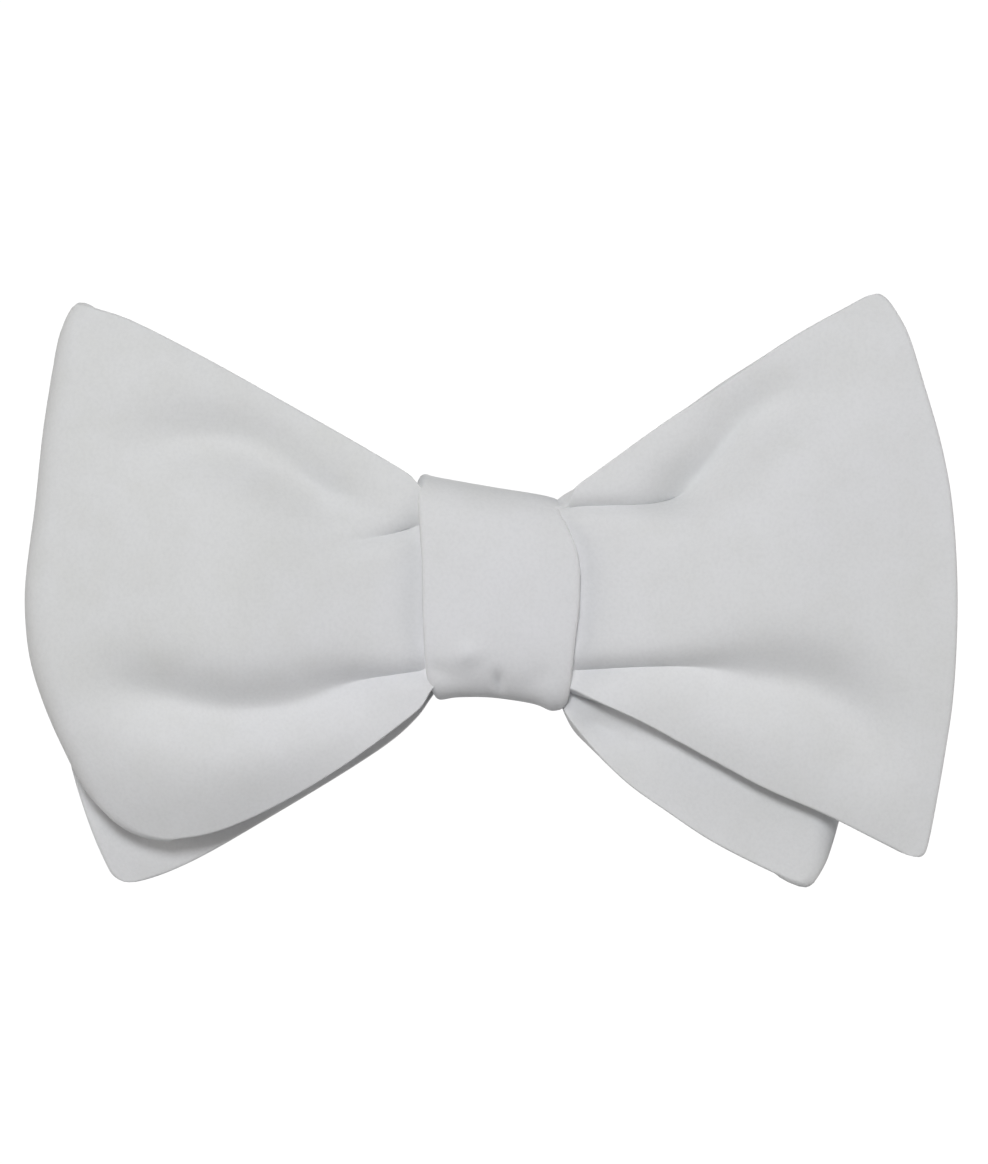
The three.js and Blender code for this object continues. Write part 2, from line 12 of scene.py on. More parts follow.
import bpy
import numpy as np
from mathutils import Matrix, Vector


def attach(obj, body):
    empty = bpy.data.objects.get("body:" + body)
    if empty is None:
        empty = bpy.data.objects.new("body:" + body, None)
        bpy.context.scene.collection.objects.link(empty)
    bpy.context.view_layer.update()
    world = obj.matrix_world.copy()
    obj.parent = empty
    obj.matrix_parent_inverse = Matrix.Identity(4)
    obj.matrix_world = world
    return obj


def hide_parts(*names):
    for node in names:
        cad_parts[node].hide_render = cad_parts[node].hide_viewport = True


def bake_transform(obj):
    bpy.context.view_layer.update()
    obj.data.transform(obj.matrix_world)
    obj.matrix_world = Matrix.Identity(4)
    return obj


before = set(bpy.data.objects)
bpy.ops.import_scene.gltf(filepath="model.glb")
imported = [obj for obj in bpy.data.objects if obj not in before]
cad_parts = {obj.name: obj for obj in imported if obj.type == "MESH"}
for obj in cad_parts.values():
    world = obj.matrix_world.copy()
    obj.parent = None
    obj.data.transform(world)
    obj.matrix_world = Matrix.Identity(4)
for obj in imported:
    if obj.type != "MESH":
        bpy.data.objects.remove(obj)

LOG = logging.getLogger("bow_tie")
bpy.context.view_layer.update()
MM = 0.001
WHITE = (1.0, 1.0, 1.0, 1.0)
FINE_STEPS = 24  # between two known points of a smooth path
CAP_SHRINK = (0.55, 0.97)  # a swept strip's end, as shares of its thickness and its height
CAP_LENGTH = 0.3

Point = tuple[float, float]
Spot = tuple[float, float, float]
Grid = np.ndarray
Place = tuple[np.ndarray, np.ndarray]  # a place in plan, and the direction away from the neck
Tree = bpy.types.NodeTree
Material = bpy.types.Material
Piece = bpy.types.Object


class Side(Enum):
    """The side of the knot that a lobe is on, as someone facing the bow sees it."""

    LEFT = -1
    RIGHT = 1


class Body(Enum):
    """The moving bodies of the bow tie."""

    KNOT = "knot_and_band"
    LEFT_WING = "left_wing"
    RIGHT_WING = "right_wing"
    BAND_END = "band_end"
    SLIDE = "slide"
    HOOK = "hook_plate"
    EYE = "eye"


# ---------------------------------------------------------------- node and mesh helpers


def linear(colour: str) -> tuple[float, float, float, float]:
    """Turn an sRGB hex colour into linear values.

    Args:
        colour: Six hex digits, such as "d6d8d9".

    Returns:
        Linear red, green and blue, and an alpha of 1.
    """
    channels = [int(colour[i : i + 2], 16) / 255 for i in (0, 2, 4)]
    bent = [c / 12.92 if c <= 0.04045 else ((c + 0.055) / 1.055) ** 2.4 for c in channels]
    return (*bent, 1.0)


def add_node(
    tree: Tree,
    kind: str,
    settings: dict[str, Any] | None = None,
    inputs: dict[str | int, Any] | None = None,
    stops: Sequence[tuple[float, str]] = (),
) -> bpy.types.Node:
    """Add a shader node with its settings and its inputs.

    Args:
        tree: The material's or world's node tree.
        kind: The node's type, such as "ShaderNodeTexNoise".
        settings: Properties to set on the node.
        inputs: Values, or output sockets to link, by the input's name or place.
        stops: A colour ramp's two places from 0 to 1, each with an sRGB hex colour.

    Returns:
        The new node.
    """
    node = tree.nodes.new(kind)
    for name, value in (settings or {}).items():
        setattr(node, name, value)
    for name, value in (inputs or {}).items():
        if isinstance(value, bpy.types.NodeSocket):
            tree.links.new(value, node.inputs[name])
        else:
            node.inputs[name].default_value = value
    for index, (place, colour) in enumerate(stops):
        node.color_ramp.elements[index].position = place
        node.color_ramp.elements[index].color = linear(colour)
    return node


def per_metre(millimetres: float) -> float:
    """Give the texture scale at which one feature is so many millimetres wide."""
    return 1.0 / (millimetres * MM)


def new_material(name: str) -> tuple[Material, Tree, bpy.types.Node, bpy.types.Node]:
    """Start a material.

    Args:
        name: The material's name.

    Returns:
        The material, its node tree, its Principled shader and its texture coordinates.
    """
    material = bpy.data.materials.new(name)
    material.use_nodes = True
    tree = material.node_tree
    shader = tree.nodes["Principled BSDF"]
    coordinates = add_node(tree, "ShaderNodeTexCoord")
    return material, tree, shader, coordinates


def mesh_piece(name: str, vertices: np.ndarray, faces: Sequence[Sequence[int]]) -> Piece:
    """Make an object from millimetre vertices and add it to the scene.

    Args:
        name: The piece's name.
        vertices: An array of x, y and z in millimetres.
        faces: Vertex numbers of each face.

    Returns:
        The object, at the origin, with smooth faces that point outwards.
    """
    mesh = bpy.data.meshes.new(name)
    mesh.from_pydata((vertices * MM).tolist(), [], [list(face) for face in faces])
    mesh.update()
    piece = bpy.data.objects.new(name, mesh)
    bpy.context.scene.collection.objects.link(piece)
    mesh.polygons.foreach_set("use_smooth", [True] * len(mesh.polygons))
    return piece


def select_only(piece: Piece) -> None:
    """Deselect everything, then select one piece and make it active.

    Args:
        piece: The piece to select.
    """
    bpy.ops.object.select_all(action="DESELECT")
    piece.select_set(True)
    bpy.context.view_layer.objects.active = piece


def face_outwards(piece: Piece) -> None:
    """Make a closed piece's faces point outwards.

    Args:
        piece: The piece to mend.
    """
    select_only(piece)
    bpy.ops.object.mode_set(mode="EDIT")
    bpy.ops.mesh.select_all(action="SELECT")
    bpy.ops.mesh.normals_make_consistent(inside=False)
    bpy.ops.object.mode_set(mode="OBJECT")


def apply_modifier(piece: Piece, kind: str, **settings: Any) -> None:
    """Add a modifier and apply it.

    Args:
        piece: The piece to change.
        kind: The modifier's type, such as "SUBSURF".
        settings: Properties to set on the modifier.
    """
    select_only(piece)
    modifier = piece.modifiers.new(kind.title(), kind)
    for name, value in settings.items():
        setattr(modifier, name, value)
    bpy.ops.object.modifier_apply(modifier=modifier.name)


def grid_faces(
    columns: int, rows: int, wrap_columns: bool = False, wrap_rows: bool = False
) -> list[list[int]]:
    """List the quads of a grid of vertices stored column by column.

    Args:
        columns: How many columns of vertices there are.
        rows: How many vertices each column has.
        wrap_columns: Whether the last column joins the first.
        wrap_rows: Whether the last row joins the first.

    Returns:
        Four vertex numbers for each face.
    """
    faces = []
    for i in range(columns if wrap_columns else columns - 1):
        for j in range(rows if wrap_rows else rows - 1):
            across, along = (i + 1) % columns, (j + 1) % rows
            faces.append([i * rows + j, across * rows + j, across * rows + along, i * rows + along])
    return faces


def ease(t: Grid | float) -> Grid:
    """Ease smoothly from 0 to 1."""
    t = np.clip(t, 0.0, 1.0)
    return t * t * (3 - 2 * t)


def smooth_path(points: Sequence[Point], count: int) -> np.ndarray:
    """Draw a smooth curve through points.

    Args:
        points: The points to pass through.
        count: How many points to return.

    Returns:
        An array of count points, evenly spaced along the curve.
    """
    known = np.array(points, dtype=float)
    ends = [2 * known[0] - known[1], *known, 2 * known[-1] - known[-2]]
    fine = []
    for p0, p1, p2, p3 in zip(ends, ends[1:], ends[2:], ends[3:]):
        for t in np.linspace(0, 1, FINE_STEPS, endpoint=False):
            bend = 2 * p0 - 5 * p1 + 4 * p2 - p3
            fine.append(0.5 * (2 * p1 + (p2 - p0) * t + bend * t * t + (3 * p1 - p0 - 3 * p2 + p3) * t**3))
    fine.append(known[-1])
    line = np.array(fine)
    travelled = np.concatenate([[0], np.cumsum(np.linalg.norm(np.diff(line, axis=0), axis=1))])
    wanted = np.linspace(0, travelled[-1], count)
    return np.stack([np.interp(wanted, travelled, line[:, k]) for k in range(line.shape[1])], axis=1)


# ---------------------------------------------------------------- finishes


@dataclass(frozen=True)
class Velvet:
    """White cotton velvet, cut pile. The short pile scatters light softly, so the cloth has no gloss."""

    name: str = "cotton_velvet_cut_pile"
    base: str = "dadbdc"
    shade: str = "d7d8d8"
    tint: str = "dadae0"
    nap_mm: float = 5.0  # patches where the pile leans another way
    tint_mm: float = 60.0
    pile_mm: float = 0.45  # real tufts are about 0.15 mm, which is too fine to show
    pile_height_mm: float = 0.1

    def material(self) -> Material:
        """Build the velvet's material.

        Returns:
            The material.
        """
        material, tree, shader, where = new_material(self.name)
        nap = add_node(
            tree,
            "ShaderNodeTexNoise",
            inputs={"Vector": where.outputs["Object"], "Scale": per_metre(self.nap_mm), "Detail": 4.0},
        )
        leaning = add_node(
            tree,
            "ShaderNodeValToRGB",
            inputs={"Fac": nap.outputs["Fac"]},
            stops=((0.3, self.shade), (0.62, self.base)),
        ).outputs["Color"]
        broad = add_node(
            tree,
            "ShaderNodeTexNoise",
            inputs={"Vector": where.outputs["Object"], "Scale": per_metre(self.tint_mm), "Detail": 1.0},
        )
        amount = add_node(
            tree,
            "ShaderNodeMapRange",
            inputs={"Value": broad.outputs["Fac"], "From Min": 0.45, "From Max": 0.75, "To Max": 0.5},
        )
        tinted = add_node(
            tree,
            "ShaderNodeMix",
            settings={"data_type": "RGBA"},
            inputs={0: amount.outputs["Result"], 6: leaning, 7: linear(self.tint)},
        )
        pile = add_node(
            tree,
            "ShaderNodeTexNoise",
            inputs={"Vector": where.outputs["Object"], "Scale": per_metre(self.pile_mm), "Detail": 3.0},
        )
        tufts = add_node(
            tree,
            "ShaderNodeValToRGB",
            inputs={"Fac": pile.outputs["Fac"]},
            stops=((0.3, "e9e9ea"), (0.6, "ffffff")),
        ).outputs["Color"]
        speckled = add_node(
            tree,
            "ShaderNodeMix",
            settings={"data_type": "RGBA", "blend_type": "MULTIPLY"},
            inputs={0: 0.2, 6: tinted.outputs[2], 7: tufts},
        )
        bump = add_node(
            tree,
            "ShaderNodeBump",
            inputs={"Height": pile.outputs["Fac"], "Distance": self.pile_height_mm * MM, "Strength": 0.2},
        )
        tree.links.new(speckled.outputs[2], shader.inputs["Base Color"])
        tree.links.new(bump.outputs["Normal"], shader.inputs["Normal"])
        shader.inputs["Roughness"].default_value = 0.92
        shader.inputs["Specular IOR Level"].default_value = 0.12
        shader.inputs["Sheen Weight"].default_value = 0.03
        shader.inputs["Sheen Roughness"].default_value = 0.6
        return material


@dataclass(frozen=True)
class Satin:
    """White polyester satin, woven. Long floats lie along the strip, so it has a soft directional gloss."""

    name: str = "polyester_satin_woven"
    base: str = "dcdddf"
    shade: str = "cbccd0"
    float_mm: float = 0.5  # real floats are about 0.1 mm wide, too fine to show
    slub_mm: float = 7.0

    def material(self) -> Material:
        """Build the satin's material.

        Returns:
            The material.
        """
        material, tree, shader, where = new_material(self.name)
        rows = add_node(
            tree, "ShaderNodeMapping", inputs={"Vector": where.outputs["Object"], "Scale": (0.12, 0.12, 1.0)}
        )
        weave = add_node(
            tree,
            "ShaderNodeTexNoise",
            inputs={"Vector": rows.outputs["Vector"], "Scale": per_metre(self.float_mm), "Detail": 2.0},
        )
        slub = add_node(
            tree,
            "ShaderNodeTexNoise",
            inputs={"Vector": rows.outputs["Vector"], "Scale": per_metre(self.slub_mm), "Detail": 3.0},
        )
        colour = add_node(
            tree,
            "ShaderNodeValToRGB",
            inputs={"Fac": slub.outputs["Fac"]},
            stops=((0.3, self.shade), (0.65, self.base)),
        ).outputs["Color"]
        bump = add_node(
            tree,
            "ShaderNodeBump",
            inputs={"Height": weave.outputs["Fac"], "Distance": 0.05 * MM, "Strength": 0.5},
        )
        tree.links.new(colour, shader.inputs["Base Color"])
        tree.links.new(bump.outputs["Normal"], shader.inputs["Normal"])
        shader.inputs["Roughness"].default_value = 0.42
        shader.inputs["Specular IOR Level"].default_value = 0.45
        shader.inputs["Sheen Weight"].default_value = 0.1
        return material


@dataclass(frozen=True)
class Thread:
    """White polyester sewing thread, spun and twisted. The twist shows as fine slanting bands."""

    name: str = "polyester_thread_spun"
    base: str = "e6e6e4"
    shade: str = "bdbdba"
    twist_mm: float = 0.35
    bands: float = 20.0  # how many bands the wave pattern has at a scale of 1

    def material(self) -> Material:
        """Build the thread's material.

        Returns:
            The material.
        """
        material, tree, shader, where = new_material(self.name)
        twist = add_node(
            tree,
            "ShaderNodeTexWave",
            settings={"bands_direction": "DIAGONAL"},
            inputs={
                "Vector": where.outputs["Object"],
                "Scale": per_metre(self.twist_mm) / self.bands,
                "Distortion": 0.6,
            },
        )
        colour = add_node(
            tree,
            "ShaderNodeValToRGB",
            inputs={"Fac": twist.outputs["Fac"]},
            stops=((0.1, self.shade), (0.6, self.base)),
        ).outputs["Color"]
        tree.links.new(colour, shader.inputs["Base Color"])
        shader.inputs["Roughness"].default_value = 0.6
        return material


@dataclass(frozen=True)
class Nickel:
    """Nickel plate on stamped steel, polished. Bright, a little warm, with hairline handling scratches."""

    name: str = "nickel_plate_polished"
    base: str = "d2cfc8"
    dull: str = "b3afa7"
    scratch_mm: float = 0.4
    cloud_mm: float = 3.0
    smoothest: float = 0.16
    roughest: float = 0.34

    def material(self) -> Material:
        """Build the nickel's material.

        Returns:
            The material.
        """
        material, tree, shader, where = new_material(self.name)
        lines = add_node(
            tree, "ShaderNodeMapping", inputs={"Vector": where.outputs["Object"], "Scale": (0.15, 1.0, 1.0)}
        )
        scratch = add_node(
            tree,
            "ShaderNodeTexNoise",
            inputs={"Vector": lines.outputs["Vector"], "Scale": per_metre(self.scratch_mm), "Detail": 4.0},
        )
        cloud = add_node(
            tree,
            "ShaderNodeTexNoise",
            inputs={"Vector": where.outputs["Object"], "Scale": per_metre(self.cloud_mm), "Detail": 3.0},
        )
        colour = add_node(
            tree,
            "ShaderNodeValToRGB",
            inputs={"Fac": cloud.outputs["Fac"]},
            stops=((0.3, self.dull), (0.6, self.base)),
        ).outputs["Color"]
        rough = add_node(
            tree,
            "ShaderNodeMapRange",
            inputs={
                "Value": scratch.outputs["Fac"],
                "From Min": 0.3,
                "From Max": 0.7,
                "To Min": self.smoothest,
                "To Max": self.roughest,
            },
        )
        bump = add_node(
            tree,
            "ShaderNodeBump",
            inputs={"Height": scratch.outputs["Fac"], "Distance": 0.02 * MM, "Strength": 0.3},
        )
        tree.links.new(colour, shader.inputs["Base Color"])
        tree.links.new(rough.outputs["Result"], shader.inputs["Roughness"])
        tree.links.new(bump.outputs["Normal"], shader.inputs["Normal"])
        shader.inputs["Metallic"].default_value = 1.0
        return material


@dataclass(frozen=True)
class Paper:
    """Matt studio paper, seamless. Pale and even, with a faint fibre."""

    name: str = "studio_paper_matt"
    base: str = "f4f4f4"
    shade: str = "efefef"
    backlit: float = 0.38  # light through the paper, which keeps it pale and doesn't reach the bow

    def material(self) -> Material:
        """Build the floor's material.

        Returns:
            The material.
        """
        material, tree, shader, where = new_material(self.name)
        fibre = add_node(
            tree,
            "ShaderNodeTexNoise",
            inputs={"Vector": where.outputs["Object"], "Scale": per_metre(4.0), "Detail": 3.0},
        )
        colour = add_node(
            tree,
            "ShaderNodeValToRGB",
            inputs={"Fac": fibre.outputs["Fac"]},
            stops=((0.3, self.shade), (0.7, self.base)),
        ).outputs["Color"]
        path = add_node(tree, "ShaderNodeLightPath")
        lit = add_node(
            tree,
            "ShaderNodeMath",
            settings={"operation": "MULTIPLY"},
            inputs={0: path.outputs["Is Camera Ray"], 1: self.backlit},
        )
        tree.links.new(colour, shader.inputs["Base Color"])
        tree.links.new(colour, shader.inputs["Emission Color"])
        tree.links.new(lit.outputs[0], shader.inputs["Emission Strength"])
        shader.inputs["Roughness"].default_value = 0.9
        shader.inputs["Specular IOR Level"].default_value = 0.1
        return material


# ---------------------------------------------------------------- shape of the cloth


@dataclass(frozen=True)
class Crease:
    """A fold line raised from a lobe's face, or pressed into it.

    The path's points are millimetres out from the knot and up. A lift below 0 is a valley.
    """

    path: tuple[Point, ...]
    lift: float
    width: float
    spread: float = 1.0  # how many times wider it is at its far end
    fade_in: float = 0.0
    fade_out: float = 0.4
    samples: int = 90

    def at(self, out: Grid, up: Grid) -> Grid:
        """Give the crease's lift at places on the face.

        Args:
            out: Distances out from the knot.
            up: Heights.

        Returns:
            Millimetres forward at each place.
        """
        line = smooth_path(self.path, self.samples)
        step = float(np.linalg.norm(np.diff(line, axis=0), axis=1).mean())
        along = np.linspace(0, 1, self.samples)
        strength = ease((1 - along) / self.fade_out)
        if self.fade_in:
            strength = strength * ease(along / self.fade_in)
        total = np.zeros_like(out, dtype=float)
        for (x, z), place, share in zip(line, along, strength):
            wide = self.width * (1 + (self.spread - 1) * place)
            far = (out - x) ** 2 + (up - z) ** 2
            total += share * step / (math.sqrt(math.pi) * wide) * np.exp(-far / wide**2)
        return self.lift * total


@dataclass(frozen=True)
class Panel:
    """The middle of a lobe, which stands forward of its flaps where it leaves the knot."""

    top: tuple[Point, ...]
    bottom: tuple[Point, ...]
    lift: float
    fades_from: float
    fades_to: float
    softness: float = 1.0

    def at(self, out: Grid, up: Grid) -> Grid:
        """Give the panel's lift at places on the face.

        Args:
            out: Distances out from the knot.
            up: Heights.

        Returns:
            Millimetres forward at each place.
        """
        top, bottom = np.array(self.top), np.array(self.bottom)
        under = ease((np.interp(out, top[:, 0], top[:, 1]) - up) / self.softness + 0.5)
        over = ease((up - np.interp(out, bottom[:, 0], bottom[:, 1])) / self.softness + 0.5)
        left = 1 - ease((out - self.fades_from) / (self.fades_to - self.fades_from))
        return self.lift * under * over * left


@dataclass(frozen=True)
class Outline:
    """The edge of a lobe as it lies, in millimetres out from the knot and up.

    The tip runs from the end of the bottom edge to the end of the top edge, round both corners.
    """

    top: tuple[Point, ...]
    bottom: tuple[Point, ...]
    tip: tuple[Point, ...]
    edge_steps: int = 240
    tip_steps: int = 400

    def edge(self, points: tuple[Point, ...], out: Grid) -> Grid:
        """Give an edge's height, carried straight on past its far end.

        Args:
            points: The edge's points.
            out: Distances out from the knot.

        Returns:
            The height at each distance.
        """
        line = smooth_path(points, self.edge_steps)
        height = np.interp(out, line[:, 0], line[:, 1])
        rise = line[-1] - line[-8]
        return height + rise[1] / rise[0] * np.maximum(0.0, out - line[-1, 0])

    def height(self, out: Grid, share: Grid, margin: float = 0.0) -> Grid:
        """Give the height at a share of the way up, keeping a margin inside both edges."""
        low, high = self.edge(self.bottom, out) + margin, self.edge(self.top, out) - margin
        return low + share * (high - low)

    def rim(self, share: np.ndarray) -> tuple[np.ndarray, np.ndarray]:
        """Follow the tip.

        Args:
            share: Each row's place from the bottom edge, 0, to the top edge, 1.

        Returns:
            How far out each row ends, and how far the tip faces away from the knot there, from 0 to 1.
        """
        line = smooth_path(self.tip, self.tip_steps)
        low, high = self.edge(self.bottom, line[:, 0]), self.edge(self.top, line[:, 0])
        place = np.clip((line[:, 1] - low) / (high - low), 0.0, 1.0)
        place = np.maximum.accumulate(place) + np.linspace(0.0, 1e-6, len(place))
        step = np.gradient(line, axis=0)
        facing = np.clip(step[:, 1] / np.linalg.norm(step, axis=1), 0.0, 1.0)
        return np.interp(share, place, line[:, 0]), np.interp(share, place, facing)


@dataclass(frozen=True)
class Lobe:
    """One half of a strip of the bow, from inside the knot to its tip."""

    name: str
    side: Side
    outline: Outline
    body: Body
    nodes: tuple[str, ...]
    flat: Point  # the cut cloth's widest width and its length
    flat_share: float  # the cut's area, as a share of its width times its length
    root_y: float  # the front layer's middle, where it leaves the knot
    setback: float
    swell: float
    creases: tuple[Crease, ...] = ()
    panels: tuple[Panel, ...] = ()
    crest: float = 0.5  # where the swell is fullest, as a share of the way up
    stand: float = 0.0  # how far the face stands off the layer behind it
    edge_drop: float = 0.0  # how far the long edges fall back
    swell_from: float = 6.0
    swell_rise: float = 34.0
    folded: bool = False
    root: float = 4.0
    ply: float = 2.3
    leg_gap: float = 2.8  # between the middles of a loop's two legs, at the knot
    fold_gap: float = 5.0
    fold_squeeze: float = 0.03
    ease_between: float = 0.2  # the least air between a loop's two legs
    press_rate: float = 6.0  # how fast the fold opens in from its pressed edges
    crown_fullness: float = 2.2
    end_fullness: float = 0.2  # the share of the swell that is there at the knot and at the tip
    swell_lean: float = 0.8
    drop_power: int = 3
    even_rows: float = 0.4  # the share of the rows' spacing that is even; the rest crowds to the edges
    shape_from: float = 5.0  # inside the knot the cloth is flat
    shape_rise: float = 6.0
    bend_from: float = 10.8
    bend_length: float = 46.0
    joint_start: float = 0.0075  # the wing bends between these, in metres out from the knot's middle
    joint_end: float = 0.0145
    joint_y: float = -0.0092

    def face(self, out: Grid, up: Grid, share: Grid, along: Grid) -> Grid:
        """Give how far forward the front layer stands.

        Args:
            out: Distances out from the knot.
            up: Heights.
            share: Place from the bottom edge, 0, to the top edge, 1.
            along: Place from the root, 0, to the tip, 1.

        Returns:
            Millimetres forward of the lobe's flat middle.
        """
        swelling = np.sin(np.pi * np.clip(along, 0, 1) ** self.swell_lean)
        belly = self.end_fullness + (1 - self.end_fullness) * swelling + self.end_fullness * along
        below, above = (self.crest - share) / self.crest, (share - self.crest) / (1 - self.crest)
        crown = 1 - np.where(share < self.crest, below, above) ** self.crown_fullness
        edges = np.abs(2 * share - 1) ** self.drop_power
        forward = self.stand + self.swell * belly * crown - self.edge_drop * edges
        forward = forward * ease((out - self.swell_from) / self.swell_rise)
        for shape in (*self.creases, *self.panels):
            forward = forward + shape.at(out, up)
        return forward * ease((out - self.shape_from) / self.shape_rise)

    def bent(self, out: Grid) -> Grid:
        """Give how far back the lobe has bent at distances out from the knot."""
        return self.setback * ease((out - self.bend_from) / self.bend_length)

    def surface(
        self, leg_columns: int = 84, fold_columns: int = 12, rows: int = 64
    ) -> tuple[np.ndarray, int]:
        """Lay out the middle of the cloth.

        Args:
            leg_columns: Steps along each leg.
            fold_columns: Steps round a loop's fold.
            rows: Steps from the bottom edge to the top edge.

        Returns:
            The vertices, column by column, and the number of columns.
        """
        even = np.linspace(0, 1, rows + 1)
        share = (1 - self.even_rows) * (1 - np.cos(np.pi * even)) / 2 + self.even_rows * even
        reach, facing_out = self.outline.rim(share)
        half = self.half_gap(share)
        end = reach - facing_out * (half + self.ply / 2) if self.folded else reach
        columns: list[np.ndarray] = []
        for i in range(leg_columns + 1):
            along = i / leg_columns
            out = self.root + (end - self.root) * along
            up = self.outline.height(out, share)
            forward = self.face(out, up, share, np.full_like(out, along))
            depth = self.middle(out) - self.gap(half, along) - forward
            columns.append(np.stack([self.side.value * out, depth, up], axis=1))
        if self.folded:
            columns += self.folded_back(columns, end, facing_out, share, fold_columns)
        return np.concatenate(columns), len(columns)

    def half_gap(self, share: np.ndarray) -> np.ndarray:
        """Give half the space between a loop's legs at the fold. The long edges lie pressed together."""
        pressed = self.leg_gap / 2
        return pressed + (self.fold_gap / 2 - pressed) * ease(np.minimum(share, 1 - share) * self.press_rate)

    def gap(self, half: np.ndarray, along: float) -> Grid:
        """Give half the space between a loop's legs, which is 0 for a blade.

        Args:
            half: Half the space at the fold, for each row.
            along: Place from the root, 0, to the tip, 1.

        Returns:
            Half the space there, for each row.
        """
        if not self.folded:
            return np.zeros_like(half)
        return self.leg_gap / 2 + (half - self.leg_gap / 2) * ease(along)

    def middle(self, out: Grid) -> Grid:
        """Give the depth of the lobe's middle at distances out from the knot."""
        return self.root_y + (self.leg_gap / 2 if self.folded else 0.0) + self.bent(out)

    def folded_back(
        self, front: list[Grid], end: Grid, facing_out: Grid, share: Grid, fold_columns: int
    ) -> list[Grid]:
        """Lay out a loop's fold and its rear leg, which gives way where the front leg presses on it.

        Args:
            front: The front leg's columns, from the knot out.
            end: For each row, how far out the fold starts.
            facing_out: How far each row of the fold faces away from the knot, from 0 to 1.
            share: Place of each row from the bottom edge to the top edge.
            fold_columns: Steps round the fold.

        Returns:
            The columns, from the front leg's end back to the knot.
        """
        columns = []
        half = self.half_gap(share)
        near = front[-1][:, 1]
        far = np.maximum(self.middle(end) + half, near + self.ply + self.ease_between)
        for i in range(1, fold_columns + 1):
            angle = math.pi * i / fold_columns
            out = end + facing_out * half * math.sin(angle)
            depth = (near + far) / 2 - (far - near) / 2 * math.cos(angle)
            up = self.outline.height(end, share, self.ply / 2 * math.sin(angle))
            columns.append(np.stack([self.side.value * out, depth, up], axis=1))
        legs = len(front) - 1
        for i in range(legs - 1, -1, -1):
            along = i / legs
            out = self.root + (end - self.root) * along
            squeeze = 1 - self.fold_squeeze * ease((1 - along) * 3)
            up = self.outline.height(out, share) * squeeze
            pressed = front[i][:, 1] + self.ply + self.ease_between
            depth = np.maximum(self.middle(out) + self.gap(half, along), pressed)
            columns.append(np.stack([self.side.value * out, depth, up], axis=1))
        return columns

    def build(self, finish: Material) -> Piece:
        """Build the lobe and dress it.

        Args:
            finish: The velvet.

        Returns:
            The finished piece.
        """
        vertices, columns = self.surface()
        rows = len(vertices) // columns
        piece = mesh_piece(self.name, vertices, grid_faces(columns, rows))
        apply_modifier(piece, "SOLIDIFY", thickness=self.ply * MM, offset=0.0, use_even_offset=False)
        face_outwards(piece)
        apply_modifier(piece, "SUBSURF", levels=1, render_levels=1)
        piece.data.materials.append(finish)
        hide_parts(*self.nodes)
        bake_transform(piece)
        LOG.info("%s: %d vertices", self.name, len(piece.data.vertices))
        return piece


# ---------------------------------------------------------------- the bow


